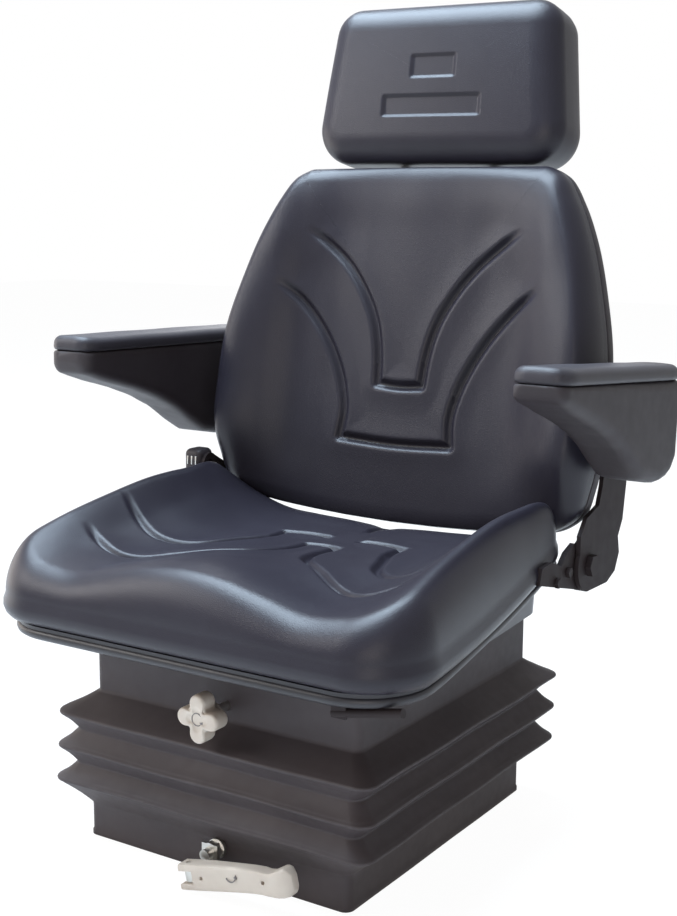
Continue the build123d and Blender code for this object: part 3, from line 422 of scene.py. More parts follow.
vinyl = vinylMaterial("seatVinyl", (0.017, 0.0145, 0.021), (0.021, 0.0185, 0.026), (0.31, 0.38))
padVinyl = vinylMaterial("armPadSkin", (0.031, 0.027, 0.033), (0.039, 0.035, 0.041), (0.38, 0.48))
armPlastic = surfaceMaterial(
    "armPlastic", (0.022, 0.016, 0.019), (0.031, 0.024, 0.027), (0.5, 0.66), grain=1400, specular=0.4,
)
bellowsRubber = surfaceMaterial(
    "bellowsRubber", (0.033, 0.024, 0.026), (0.046, 0.034, 0.035), (0.55, 0.75), grain=700, cloud=10,
)
bracketCoat = surfaceMaterial(
    "bracketCoat", (0.015, 0.009, 0.01), (0.021, 0.014, 0.014), (0.58, 0.74),
    grain=1100, grainDepth=0.00008, specular=0.26,
)
powderCoat = surfaceMaterial(
    "blackPowderCoat", (0.014, 0.013, 0.017), (0.022, 0.02, 0.025), (0.34, 0.5), grain=1100, grainDepth=0.00008,
)
beigePlastic = surfaceMaterial(
    "beigePlastic", (0.46, 0.385, 0.32), (0.54, 0.465, 0.39), (0.36, 0.5),
    grain=1300, grainDepth=0.00005, cloud=25,
)
markInk = surfaceMaterial("moulderMark", (0.12, 0.1, 0.1), (0.17, 0.15, 0.14), (0.5, 0.6), cloud=60)
zincSteel = steelMaterial("zincSteel", (0.5, 0.49, 0.46), (0.68, 0.67, 0.64), (0.22, 0.42))
chromeTube = steelMaterial("chromeTube", (0.62, 0.62, 0.62), (0.75, 0.75, 0.75), (0.06, 0.14))
rollerNylon = surfaceMaterial("rollerNylon", (0.6, 0.57, 0.48), (0.7, 0.67, 0.58), (0.4, 0.55))
print("materials made")

# CAD pieces that keep their shape
finishes = (
    (zincSteel, (
        "lower_pivot_pins", "upper_pivot_pins", "centre_pins", "outer_axle", "inner_axle", "lower_rail_left",
        "lower_rail_right", "upper_rail_left", "upper_rail_right", "weight_spindle", "handle_pin", "knob_shaft",
        "lever_pin", "shell_bolts", "damper_rod", "armrest_bolt_left", "armrest_bolt_right", "crank_plate",
        "tension_spring_left", "tension_spring_right",
    )),
    (powderCoat, (
        "seat_pan", "upper_frame", "upper_channel_left", "upper_channel_right", "base_tray", "base_channel_left",
        "base_channel_right", "outer_arm_left", "outer_arm_right", "inner_arm_left", "inner_arm_right",
        "damper_lower_clevis", "damper_upper_clevis", "spindle_bearing", "headrest_guides", "spring_carriage",
        "damper_tube",
    )),
    (bracketCoat, (
        "hinge_bracket_left", "hinge_bracket_right", "back_arm_left", "back_arm_right", "bracket_bolts",
        "hinge_pins", "slide_lever",
    )),
    (bellowsRubber, ("bump_stops",)),
    (chromeTube, ("headrest_posts",)),
    (rollerNylon, ("lower_rollers", "upper_rollers")),
)
for finish, names in finishes:
    for name in names:
        nodes[name].data.materials.clear()
        nodes[name].data.materials.append(finish)
print("frame pieces finished")

# Seat cushion, in millimetres, as the measured crown of the moulded foam
seatCushion = {
    "across": (0, 50, 100, 140, 185, 228, 262),
    "along": (-252, -215, -150, -73, 0, 60, 110, 150, 180),
    "crown": (
        (324, 321, 312, 305, 306, 310, 306),
        (331, 327, 317, 309, 313, 324, 326),
        (328, 323, 312, 307, 319, 343, 350),
        (315, 314, 310, 309, 326, 360, 368),
        (307, 307, 307, 310, 335, 373, 384),
        (305, 305, 306, 311, 338, 376, 386),
        (305, 306, 307, 312, 334, 369, 377),
        (304, 307, 309, 312, 326, 346, 350),
        (299, 301, 303, 306, 314, 323, 326),
    ),
    "outline": (-252, 164, 265, 232, 68, 56),  # front, rear, front half, rear half, front corner, rear corner
    "roll": (30, 12), "rollFrom": 40, "rollOver": 90, "rollSteps": 14, "gridCount": 104,
    "rest": 10.4, "lipCover": 7, "edgeRise": (30, 60, 0.3, 26),
    "sideRows": ((2.4, 0.74), (2.8, 0.5), (0.6, 0.26), (-3.6, 0.08), (-8.5, 0), (-20, 0)),
    "underside": (-23, 240.0),
    "grooveSection": (5.2, 4.6, 1.6),  # depth, half width, puff beside it
    "grooves": (
        ((
            (20, 16), (21, -25), (37, -69), (75, -101), (114, -131), (152, -147), (186, -144), (214, -134),
        ), 0, 34, True),
        (((80, 60), (79, 40), (96, -12), (117, -55), (160, -76), (196, -70), (226, -58)), 0, 34, True),
        (((-20, 18), (0, 21), (20, 18)), 0, 0, False),
        (((14, 64), (45, 66), (80, 60)), 14, 0, True),
        (((0, 100), (0, 140), (0, 180)), 34, 0, False),
    ),
    "notch": (5, 14, 116, 40), "drift": 0.25,
}
rimLine = ((-260, 237.5), (-150, 240.5), (-61, 249), (35, 264), (120, 282), (175, 294))


def rimLevel(y):
    return cubicThrough([p[0] for p in rimLine], [p[1] for p in rimLine], y)


def buildSeatCushion(s):
    outline, normals = taperedOutline(*s["outline"], s["gridCount"])
    grooves = grooveLines(s["grooves"])
    notchDepth, notchHalf, notchFrom, notchOver = s["notch"]
    most, over, slope, limit = s["edgeRise"]

    def plain(x, y):
        return tableHeight(s["across"], s["along"], s["crown"], x, y)

    def crown(x, y):
        notch = notchDepth * np.exp(-(x / notchHalf) ** 2) * softStep((y - notchFrom) / notchOver)
        drift = s["drift"] * np.sin(x / 43 + 1.3) * np.sin(y / 51 + 0.4)
        return plain(x, y) - grooveDepth(x, y, grooves, *s["grooveSection"]) - notch + drift

    # Side rows lie between the pan's lip and the crown, by share
    def levelAt(share):
        def level(x, y):
            top = plain(x, y)
            low = np.minimum(rimLevel(y) + s["rest"], top - s["lipCover"])
            return low + share * np.minimum(most * softStep((top - low) / over) + slope * (top - low), limit)
        return level

    wide, narrow = s["roll"]
    roll = wide + (narrow - wide) * softStep((outline[:, 1] - s["rollFrom"]) / s["rollOver"])
    rows = [(outset, levelAt(share)) for outset, share in s["sideRows"]] + [s["underside"]]
    points, faces = padShape(outline, normals, s["gridCount"], roll, s["rollSteps"], crown, levelAt(1), rows)
    placeSkin("seatCushionSkin", points * mm, faces, vinyl, "seat", "vinyl", "seat_cushion")


buildSeatCushion(seatCushion)
print("seat cushion made")

# Backrest and headrest share one leaning frame: across, up the back, and forward
backLean = {"angle": 11, "y": 168, "z": 407}


def leaned(points):
    turn = math.radians(backLean["angle"])
    across, up, forward = points[:, 0], points[:, 1], points[:, 2]
    y = backLean["y"] - forward * math.cos(turn) + up * math.sin(turn)
    z = backLean["z"] + forward * math.sin(turn) + up * math.cos(turn)
    return np.column_stack([across, y, z]) * mm


backCushion = {
    "across": (0, 60, 110, 150, 185, 222, 262),
    "up": (-95, -60, -10, 60, 130, 190, 250, 290, 335),
    "forward": (
        (-4, -4, -4, -3, -1, 1, -4),
        (-2, -2, -1, 3, 9, 13, 6),
        (0, 0, 1, 6, 21, 37, 31),
        (0, 0, 1, 8, 26, 40, 35),
        (0, 0, 2, 9, 27, 38, 33),
        (0, 0, 2, 10, 26, 31, 22),
        (0, 0, 3, 14, 24, 21, 10),
        (1, 1, 5, 13, 18, 10, 0),
        (-3, -2, 1, 4, 4, -2, -8),
    ),
    "side": (
        (160, 327), (179, 318), (199, 290), (218, 250), (239, 182), (252, 120), (256, 60), (254, 0), (249, -34),
        (241, -63), (222, -79), (177, -88), (120, -93), (60, -96),
    ),
    "top": (0, 328), "foot": (0, -97), "corners": ((232, -72), (190, 312), (-190, 312), (-232, -72)),
    "roll": 20, "rollSteps": 13, "gridCount": 100, "edge": -9,
    "sideRows": ((0.5, -13), (0, -16.5), (-2.5, -17.8), (-7, -18.5), (-9, -30)),
    "grooveSection": (5.4, 4.8, 1.7),  # depth, half width, puff beside it
    "grooves": (
        (((30, 66), (33, 100), (42, 138), (62, 176), (90, 210), (120, 234), (150, 252)), 0, 36, True),
        (((76, -2), (73, 30), (80, 62), (95, 96), (119, 132), (150, 164), (182, 186)), 0, 36, True),
        (((-30, 66), (0, 64), (30, 66)), 0, 0, False),
        (((-76, -2), (0, -5), (76, -2)), 0, 0, False),
    ),
    "drift": 0.2,
}

# Moulded shell behind the backrest: outset from the cushion's outline, and forward
backShell = {
    "rings": (
        (-3, -16), (0.5, -17.5), (1, -20), (0.6, -28), (-1, -35), (-3.4, -39.6), (-6.5, -41.6), (-10, -42),
    ),
    "gridCount": 60, "sharpAngle": 50,
}


def backOutline(s, count):
    side = smoothLine(s["side"], 4)
    loop = np.vstack([side[::-1], [s["top"]], [(-x, v) for x, v in side], [s["foot"]]])
    return sampledOutline(loop, s["corners"], count)


def buildBackCushion(s):
    outline, normals = backOutline(s, s["gridCount"])
    grooves = grooveLines(s["grooves"])

    def crown(x, v):
        base = tableHeight(s["across"], s["up"], s["forward"], x, v)
        drift = s["drift"] * np.sin(x / 47 + 0.6) * np.sin(v / 53 + 1.1)
        return base - grooveDepth(x, v, grooves, *s["grooveSection"]) + drift

    points, faces = padShape(
        outline, normals, s["gridCount"], s["roll"], s["rollSteps"], crown, s["edge"], s["sideRows"],
    )
    placeSkin("backrestSkin", leaned(points), faces, vinyl, "back", "vinyl", "backrest_cushion")


def buildBackShell(s, cushion):
    outline, normals = backOutline(cushion, s["gridCount"])
    count = len(outline)
    rings = [
        np.column_stack([outline + normals * outset, np.full(count, forward)]) for outset, forward in s["rings"]
    ]
    piece = meshPiece("backrestPan", leaned(np.vstack(rings)), ringFaces(len(rings), count), armPlastic)
    cleanNormals(piece)
    piece.data.set_sharp_from_angle(angle=math.radians(s["sharpAngle"]))
    place(piece, "back", "arm_plastic", "backrest_shell")


buildBackCushion(backCushion)
buildBackShell(backShell, backCushion)
print("backrest made")

headCushion = {
    "low": 334, "high": 527, "lowHalf": 171.5, "highHalf": 150, "lowCorner": 44, "highCorner": 36,
    "roll": 34, "rollSteps": 14, "gridCount": 80, "edge": -27, "settle": (0.03, 0.014),
    "crown": (3.0, 3.4, 170, 3.2, 98),  # height, fall across and its half width, fall along and its half height
    "recesses": ((65, 388, 412, 2.6), (29, 434, 460, 2.2)),  # half width, low, high, depth
    "recessEdge": 5,
    "sideRows": (
        (0, -44), (-0.5, -60), (-2.5, -70), (-7, -78), (-14, -82.5), (-22, -84), (-31, -84.5),
    ),
}


def buildHeadCushion(s):
    outline, normals = taperedOutline(
        s["low"], s["high"], s["lowHalf"], s["highHalf"], s["lowCorner"], s["highCorner"], s["gridCount"], 3,
    )
    middle = (s["low"] + s["high"]) / 2
    most, fallAcross, halfAcross, fallAlong, halfAlong = s["crown"]

    def inside(distance):
        return softStep(distance / s["recessEdge"] + 0.5)

    def crown(x, v):
        height = most - fallAcross * (x / halfAcross) ** 2 - fallAlong * ((v - middle) / halfAlong) ** 2
        for half, low, high, depth in s["recesses"]:
            height = height - depth * inside(half - np.abs(x)) * inside(v - low) * inside(high - v)
        return height

    points, faces = padShape(
        outline, normals, s["gridCount"], s["roll"], s["rollSteps"], crown, s["edge"], s["sideRows"],
    )
    across, up = points[:, 0].copy(), points[:, 1] - middle
    points[:, 0] = across - s["settle"][0] * up
    points[:, 1] -= s["settle"][1] * across
    placeSkin("headrestSkin", leaned(points), faces, vinyl, "headrest", "vinyl", "headrest_cushion")


buildHeadCushion(headCushion)
print("headrest made")

# Bellows, grown by Geometry Nodes from a list of levels
bellowsSizes = {
    "footZ": 2, "skirtTopZ": 39, "skirtHalf": (168, 187), "skirtCorner": 10, "footOut": 0.8, "hemOut": 0.3,
    "firstTip": 68, "pitch": 36, "folds": 3, "tipOut": (33.5, 28), "valleyOut": 14,
    "tipCorner": 19, "valleyCorner": 14, "tipRound": (2.2, 2.3), "slopeStart": (1.6, 2.6), "slopePuff": 1.4,
    "collarZ": 162, "collarTop": 228, "collarHalf": (169, 182.5), "collarCorner": 10, "back": 10.8,
    "wall": 2.5, "columns": 400, "pathCorner": 48,
    "wave": 0.6, "waveX": (160, 30, 31, 60, 0), "waveY": (180, 30, 37, 45, 1), "waveTop": 155,
}


def bellowsLevels(s):
    levels = []
    hx, hy = s["skirtHalf"]
    tipX, tipY = s["tipOut"]
    inX, inY = s["collarHalf"][0] - hx, s["collarHalf"][1] - hy
    startOut, startUp = s["slopeStart"]
    roundOut, roundUp = s["tipRound"]

    def add(z, outX, outY, corner):
        back = s["back"] * min(1, max(0, (z - s["skirtTopZ"]) / (s["collarZ"] - s["skirtTopZ"])))
        levels.append((hx + outX, hy + outY, z, corner, back))

    def slope(start, end, shares, puff):
        for t in shares:
            outX, outY, z, corner = (a + (b - a) * t for a, b in zip(start, end))
            add(z + puff * math.sin(math.pi * t), outX, outY, corner)

    def valley(z):
        return s["valleyOut"], s["valleyOut"], z, s["valleyCorner"]

    for z, out in ((0, s["footOut"]), (4, s["footOut"]), (6, 0), (14, 0), (24, 0), (32, 0)):
        add(s["footZ"] + z, out, out, s["skirtCorner"])
    hem = (s["hemOut"], s["hemOut"], s["skirtTopZ"], s["skirtCorner"])
    add(s["skirtTopZ"], s["hemOut"], s["hemOut"], s["skirtCorner"])
    collar = (inX, inY, s["collarZ"], s["collarCorner"])
    for i in range(s["folds"]):
        tip = s["firstTip"] + i * s["pitch"]
        below = valley(tip - s["pitch"] / 2) if i else hem
        above = valley(tip + s["pitch"] / 2) if i < s["folds"] - 1 else collar
        under, over = ((tipX - startOut, tipY - startOut, tip + up, s["tipCorner"]) for up in (-startUp, startUp))
        slope(below, under, (0.08, 0.2, 0.4, 0.6, 0.8, 0.93), s["slopePuff"])
        for step in range(7):
            turn = math.radians(-80 + step * 160 / 6)
            out = roundOut * math.cos(turn) - roundOut
            add(tip + roundUp * math.sin(turn), tipX + out, tipY + out, s["tipCorner"])
        slope(over, above, (0.07, 0.2, 0.4, 0.6, 0.8, 0.92, 1.0), -s["slopePuff"])
    for z in (s["collarZ"] + 3, 180, 198, 216, s["collarTop"] - 3, s["collarTop"]):
        add(z, inX, inY, s["collarCorner"])
    return levels


def newTree(name, inputs):
    tree = bpy.data.node_groups.new(name, "GeometryNodeTree")
    tree.interface.new_socket("Geometry", in_out="INPUT", socket_type="NodeSocketGeometry")
    for label, kind, value in inputs:
        socket = tree.interface.new_socket(label, in_out="INPUT", socket_type=kind)
        if value is not None:
            socket.default_value = value
    tree.interface.new_socket("Geometry", in_out="OUTPUT", socket_type="NodeSocketGeometry")
    return tree, tree.nodes.new("NodeGroupInput").outputs, tree.nodes.new("NodeGroupOutput")


def mathNode(tree, operation, a, b=None):
    node = addNode(tree, "ShaderNodeMath", operation=operation)
    for k, value in enumerate((a, b)):
        if isinstance(value, (int, float)):
            node.inputs[k].default_value = value
        elif value is not None:
            tree.links.new(value, node.inputs[k])
    return node.outputs[0]


def vectorNode(tree, operation, a, b=None):
    sources = {0: a} if b is None else {0: a, 1: b}
    return joined(tree, "ShaderNodeVectorMath", sources, operation=operation).outputs[0]


def finishTree(tree, geometry, material, groupOut):
    realize = joined(tree, "GeometryNodeRealizeInstances", {0: geometry})
    paint = joined(tree, "GeometryNodeSetMaterial", {"Geometry": realize.outputs[0], "Material": material})
    tree.links.new(paint.outputs[0], groupOut.inputs[0])
    return tree


def growPiece(name, seed, tree, values):
    piece = addObject(name, seed)
    modifier = piece.modifiers.new("grow", "NODES")
    modifier.node_group = tree
    for item in tree.interface.items_tree:
        if item.in_out == "INPUT" and item.name in values:
            modifier[item.identifier] = values[item.name]
    return finishModifiers(piece)


# Sweeps one rounded rectangle of columns through the levels, each with its half sizes, corner and shift back
def bellowsTree():
    tree, given, groupOut = newTree("bellowsFolds", [
        ("Columns", "NodeSocketInt", 320), ("Rows", "NodeSocketInt", 10), ("Corner", "NodeSocketFloat", 0.02),
        ("Half X", "NodeSocketFloat", 0.1), ("Half Y", "NodeSocketFloat", 0.1),
        ("Material", "NodeSocketMaterial", None),
    ])

    def sums(operation, a, b=None):
        return mathNode(tree, operation, a, b)

    wide = sums("ADD", given["Columns"], 1)
    grid = joined(tree, "GeometryNodeMeshGrid", {"Vertices X": given["Rows"], "Vertices Y": wide})
    index = tree.nodes.new("GeometryNodeInputIndex").outputs[0]
    row = sums("FLOOR", sums("DIVIDE", sums("ADD", index, 0.5), wide))
    column = sums("SUBTRACT", index, sums("MULTIPLY", row, wide))
    path = joined(tree, "GeometryNodeCurvePrimitiveQuadrilateral", {
        "Width": sums("MULTIPLY", given["Half X"], 2), "Height": sums("MULTIPLY", given["Half Y"], 2),
    })
    soften = joined(
        tree, "GeometryNodeFilletCurve", {"Curve": path.outputs[0], "Radius": given["Corner"]},
        mode="POLY", Count=24,
    )
    spot = joined(
        tree, "GeometryNodeSampleCurve",
        {"Curves": soften.outputs[0], "Factor": sums("DIVIDE", column, given["Columns"])},
        mode="FACTOR", use_all_curves=True,
    )
    base = spot.outputs["Position"]
    insideX = sums("SUBTRACT", given["Half X"], given["Corner"])
    insideY = sums("SUBTRACT", given["Half Y"], given["Corner"])
    limit = joined(tree, "ShaderNodeCombineXYZ", {0: insideX, 1: insideY}).outputs[0]
    least = joined(tree, "ShaderNodeVectorMath", {0: limit}, operation="SCALE", Scale=-1).outputs[0]
    centre = vectorNode(tree, "MINIMUM", vectorNode(tree, "MAXIMUM", base, least), limit)
    outward = vectorNode(tree, "NORMALIZE", vectorNode(tree, "SUBTRACT", base, centre))

    def levelValue(value, kind):
        sources = {"Geometry": given["Geometry"], "Index": row}
        pick = joined(tree, "GeometryNodeSampleIndex", sources, data_type=kind)
        tree.links.new(value, pick.inputs["Value"])
        return pick.outputs[0]

    def namedValue(label):
        named = addNode(tree, "GeometryNodeInputNamedAttribute", data_type="FLOAT")
        named.inputs["Name"].default_value = label
        return levelValue(named.outputs["Attribute"], "FLOAT")

    position = tree.nodes.new("GeometryNodeInputPosition").outputs[0]
    sizes = joined(tree, "ShaderNodeSeparateXYZ", {0: levelValue(position, "FLOAT_VECTOR")}).outputs
    radius, back = namedValue("corner"), namedValue("back")
    centreParts = joined(tree, "ShaderNodeSeparateXYZ", {0: centre}).outputs
    stretchX = sums("DIVIDE", sums("SUBTRACT", sizes[0], radius), insideX)
    stretchY = sums("DIVIDE", sums("SUBTRACT", sizes[1], radius), insideY)
    moved = joined(tree, "ShaderNodeCombineXYZ", {
        0: sums("MULTIPLY", centreParts[0], stretchX),
        1: sums("ADD", sums("MULTIPLY", centreParts[1], stretchY), back),
        2: sizes[2],
    })
    reach = joined(tree, "ShaderNodeVectorMath", {0: outward, "Scale": radius}, operation="SCALE")
    target = vectorNode(tree, "ADD", moved.outputs[0], reach.outputs[0])
    shape = joined(tree, "GeometryNodeSetPosition", {"Geometry": grid.outputs[0], "Position": target})
    weld = joined(tree, "GeometryNodeMergeByDistance", {"Geometry": shape.outputs[0]}, Distance=0.00002)
    smooth = joined(tree, "GeometryNodeSetShadeSmooth", {"Geometry": weld.outputs[0]})
    return finishTree(tree, smooth.outputs[0], given["Material"], groupOut)


# The folds' edges wave a little, and the skirt and the collar stay flat. Waves: start, ramp, pitches, phase
def waveFolds(mesh, s):
    points = np.zeros(len(mesh.vertices) * 3)
    mesh.vertices.foreach_get("co", points)
    points = points.reshape(-1, 3)
    z = points[:, 2].copy()
    out, wave = 0, 0
    for column, (start, ramp, pitch, rise, phase) in ((0, s["waveX"]), (1, s["waveY"])):
        side = points[:, column]
        out = out + np.clip((np.abs(side) - start * mm) / (ramp * mm), 0, 1)
        wave = wave + np.sin(side * pitch + z * rise + phase)
    points[:, 2] += s["wave"] * mm * wave * np.clip(out, 0, 1) * (z < s["waveTop"] * mm)
    mesh.vertices.foreach_set("co", points.ravel())
    mesh.update()


def buildBellows(s):
    levels = bellowsLevels(s)
    seed = bpy.data.meshes.new("bellowsLevels")
    spots = [(level[0] * mm, level[1] * mm, level[2] * mm) for level in levels]
    seed.from_pydata(spots, [(i, i + 1) for i in range(len(levels) - 1)], [])
    for column, label in ((3, "corner"), (4, "back")):
        values = seed.attributes.new(label, "FLOAT", "POINT")
        values.data.foreach_set("value", [level[column] * mm for level in levels])
    piece = growPiece("bellowsSkin", seed, bellowsTree(), {
        "Columns": s["columns"], "Rows": len(levels), "Corner": s["pathCorner"] * mm,
        "Half X": s["skirtHalf"][0] * mm, "Half Y": s["skirtHalf"][1] * mm, "Material": bellowsRubber,
    })
    mesh = piece.data
    waveFolds(mesh, s)
    foot = list(mesh.polygons)[:s["columns"]]
    if sum(p.normal.dot(Vector((p.center.x, p.center.y, 0))) for p in foot) < 0:
        mesh.flip_normals()
    wall = piece.modifiers.new("wall", "SOLIDIFY")
    wall.thickness = s["wall"] * mm
    wall.offset = -1
    finishModifiers(piece)
    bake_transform(piece)
    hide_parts("bellows")


buildBellows(bellowsSizes)
print("bellows grown")


# Sections walked by share of their length: straight parts and quarter arcs
def linePart(start, end, length):
    return length, lambda f: (start[0] + f * (end[0] - start[0]), start[1] + f * (end[1] - start[1]))


def arcPart(centre, radius, firstAngle):
    def spot(f):
        turn = math.radians(firstAngle + 90 * f)
        return centre[0] + radius * math.cos(turn), centre[1] + radius * math.sin(turn)
    return math.pi / 2 * radius, spot


def walkSection(parts, count):
    spots = []
    for k in range(count):
        at = k / count * sum(length for length, spot in parts)
        for length, spot in parts[:-1]:
            if at <= length:
                break
            at -= length
        else:
            length, spot = parts[-1]
        spots.append(spot(at / length))
    return spots


def armSection(wide, low, top, corner, bevel=2, bevelLength=3.0):
    inner, rise = wide - corner, top - bevel - (low + corner)
    return [
        linePart((-inner, low), (inner, low), 2 * inner),
        arcPart((inner, low + corner), corner, -90),
        linePart((wide, low + corner), (wide, top - bevel), rise),
        linePart((wide, top - bevel), (wide - bevel, top), bevelLength),
        linePart((wide - bevel, top), (bevel - wide, top), 2 * (wide - bevel)),
        linePart((bevel - wide, top), (-wide, top - bevel), bevelLength),
        linePart((-wide, top - bevel), (-wide, low + corner), rise),
        arcPart((-inner, low + corner), corner, 180),
    ]


def roundedSection(half, low, high, corner):
    x, bottom, top = half - corner, low + corner, high - corner
    return [
        linePart((-x, low), (x, low), 2 * x), arcPart((x, bottom), corner, -90),
        linePart((half, bottom), (half, top), top - bottom), arcPart((x, top), corner, 0),
        linePart((x, high), (-x, high), 2 * x), arcPart((-x, top), corner, 90),
        linePart((-half, top), (-half, bottom), top - bottom), arcPart((-x, bottom), corner, 180),
    ]


# Armrests: left and right differ a little, as they do in the photograph
armRest = {
    "inner": 264, "outer": 322, "top": 504, "padThick": 18, "turnAt": (150, 440),
    "front": {"Left": -68, "Right": -75}, "rear": {"Left": 248, "Right": 252}, "drop": {"Left": 0, "Right": 9},
    "tilt": {"Left": 4.2, "Right": 1.2}, "rise": {"Left": -4, "Right": 6},
    "under": (
        (-68, 497), (-64, 488), (-27, 476), (22, 463), (60, 450), (97, 433), (125, 415), (152, 399), (180, 394),
        (206, 392), (232, 397), (247, 411), (252, 425),
    ),
    "stations": 60, "ringCount": 44, "frontCorner": 15.0, "rearCorner": 8.0, "underCorner": 11.0,
    "noseLength": 10, "noseRise": 4, "padGap": 0.3,
    "padOver": 2, "padCorners": (19, 16), "padRoll": (9.0, 8), "padEdge": 8, "padGrid": 26,
    "padCrown": 2.0, "padWave": (0.2, 19), "padRows": ((0.3, 5), (0, 3), (-1.2, 1.2), (-3.5, 0.3), (-6, 0.1)),
}


def turnedUp(s, label, points):
    turn = math.radians(-s["tilt"][label])
    y0, z0 = s["turnAt"]
    y, z = points[:, 1] - y0, points[:, 2] - z0
    along = y0 + y * math.cos(turn) - z * math.sin(turn)
    up = z0 + y * math.sin(turn) + z * math.cos(turn) + s["rise"][label]
    return np.column_stack([points[:, 0], along, up]) * mm


def buildArmRest(s, side, label):
    front, rear = s["front"][label], s["rear"][label]
    half, middleX = (s["outer"] - s["inner"]) / 2, (s["outer"] + s["inner"]) / 2
    under = np.array(s["under"], float) - (0, s["drop"][label])
    under[:, 0] = np.interp(under[:, 0], under[[0, -1], 0], (front, rear))
    ys = front + (rear - front) * (0.5 - 0.5 * np.cos(np.pi * np.linspace(0, 1, s["stations"])))
    top = s["top"] - s["padGap"]
    points = []
    for y in ys:
        endGap = min(y - front, rear - y)
        corner = s["frontCorner"] if y < (front + rear) / 2 else s["rearCorner"]
        wide = half
        if endGap <= corner:
            wide = max(half - corner + math.sqrt(max(0, corner ** 2 - (corner - endGap) ** 2)), 1.0)
        nose = max(0.0, 1 - (y - front) / s["noseLength"])
        low = float(np.interp(y, under[:, 0], under[:, 1])) + nose * nose * s["noseRise"]
        soft = min(s["underCorner"], wide * 0.6, (top - low) * 0.45)
        spots = walkSection(armSection(wide, low, top, soft), s["ringCount"])
        points += [(side * (middleX + x), y, z) for x, z in spots]
    faces = ringFaces(len(ys), s["ringCount"])
    if side < 0:
        faces = [face[::-1] for face in faces]
    name = label.lower()
    piece = meshPiece("armrestShell" + label, turnedUp(s, label, np.array(points)), faces, armPlastic)
    place(piece, "armrest_" + name, "arm_plastic", "armrest_body_" + name)
    padHalf = half + s["padOver"]
    outline, normals = taperedOutline(
        front, rear - s["padOver"], padHalf, padHalf, *s["padCorners"], s["padGrid"], 3,
    )
    height, length = s["padWave"]

    def crown(x, y):
        return s["padThick"] - s["padCrown"] * (x / padHalf) ** 2 + height * np.sin(y / length)

    body, padFaces = padShape(
        outline, normals, s["padGrid"], *s["padRoll"], crown, s["padEdge"], s["padRows"],
    )
    shown = np.column_stack([side * middleX + body[:, 0], body[:, 1], s["top"] + body[:, 2]])
    placeSkin(
        "armrestPadSkin" + label, turnedUp(s, label, shown), padFaces, padVinyl,
        "armrest_" + name, "arm_pad", "armrest_pad_" + name,
    )


for side, label in ((1, "Left"), (-1, "Right")):
    buildArmRest(armRest, side, label)
print("armrests made")

# Star knob, front face first: share of the lobes' radius, and depth
starKnob = {
    "x": 10, "z": 178, "front": -222, "lobes": 4, "lobeAt": 16, "lobeRadius": 9.5, "waist": 14.5,
    "thick": 20, "hub": 11.2, "hubThick": 9, "edge": 3.4, "arrow": (6.4, 1.1, 40, 320),
    "face": ((0.0, 1.6), (0.24, 1.4), (0.44, 1.2), (0.5, 0.4), (0.56, 0.0), (0.7, 0.0), (0.86, 0.0)),
    "rear": ((-3, 0.0), (-1, 0.8), (0, 2.4)),  # depth from the lobes' back, and inset
}


def lobeOutline(s, count=160):
    radii = np.full(count, s["waist"])
    for k in range(count):
        for n in range(s["lobes"]):
            middle = math.radians(90 + n * 360 / s["lobes"])
            gap = (2 * math.pi * k / count - middle + math.pi) % (2 * math.pi) - math.pi
            inside = s["lobeRadius"] ** 2 - (s["lobeAt"] * math.sin(gap)) ** 2
            if abs(gap) < math.pi / 2 and inside > 0:
                radii[k] = max(radii[k], s["lobeAt"] * math.cos(gap) + math.sqrt(inside))
    for _ in range(4):
        radii = 0.5 * radii + 0.25 * (np.roll(radii, 1) + np.roll(radii, -1))
    return radii


def buildStarKnob(s):
    radii = lobeOutline(s)
    count = len(radii)
    edge, back, hub = s["edge"], s["thick"], s["hub"]
    profile = [(share, depth, 0.0) for share, depth in s["face"]]
    for k in range(1, 6):
        turn = k / 5 * math.pi / 2
        profile.append((1.0, edge - edge * math.cos(turn), edge - edge * math.sin(turn)))
    profile += [(1.0, back + depth, inset) for depth, inset in s["rear"]]
    rings = [(np.maximum(radii * share - inset, 0.01), depth) for share, depth, inset in profile]
    end = back + s["hubThick"]
    rings += [(np.full(count, r), depth) for r, depth in ((hub, back), (hub, end - 1), (hub - 1, end))]
    turns = 2 * math.pi * np.arange(count) / count
    points = np.vstack([np.column_stack([
        s["x"] + r * np.cos(turns), np.full(count, s["front"] + depth), s["z"] + r * np.sin(turns),
    ]) for r, depth in rings])
    piece = meshPiece("starKnobGrip", points * mm, ringFaces(len(rings), count), beigePlastic)
    cleanNormals(piece)
    place(piece, "star_knob", "grey_plastic", "star_knob")
    arrow = curvedArrow("knobArrow", *s["arrow"], s["front"] + 1.0, s["z"])
    arrow.data.transform(Matrix.Translation((s["x"] * mm, 0, 0)))
    place(arrow, "star_knob", "grey_plastic")


# A plain turning arrow: a bent bar with a triangle at its end
def curvedArrow(name, radius, width, startTurn, endTurn, y, z, steps=40, thick=0.9, headHalf=2.2, headLength=3.6):
    def spot(r, ahead, depth, angle):
        turn = math.radians(angle)
        across, up = math.cos(turn), math.sin(turn)
        return r * across - ahead * up, y + depth, z + r * up + ahead * across

    low, high = radius - width / 2, radius + width / 2
    section = ((low, 0.0), (high, 0.0), (high, thick), (low, thick))
    angles = [startTurn + (endTurn - startTurn) * k / steps for k in range(steps + 1)]
    points = [spot(r, 0, depth, angle) for angle in angles for r, depth in section]
    head = ((radius - headHalf, 0), (radius + headHalf, 0), (radius, headLength))
    faces = ringFaces(steps + 1, 4) + [tuple(len(points) + k for k in face) for face in ringFaces(2, 3)]
    points += [spot(r, ahead, depth, endTurn) for depth in (0.0, thick) for r, ahead in head]
    piece = meshPiece(name, np.array(points) * mm, faces, markInk, smooth=False)
    cleanNormals(piece)
    return piece


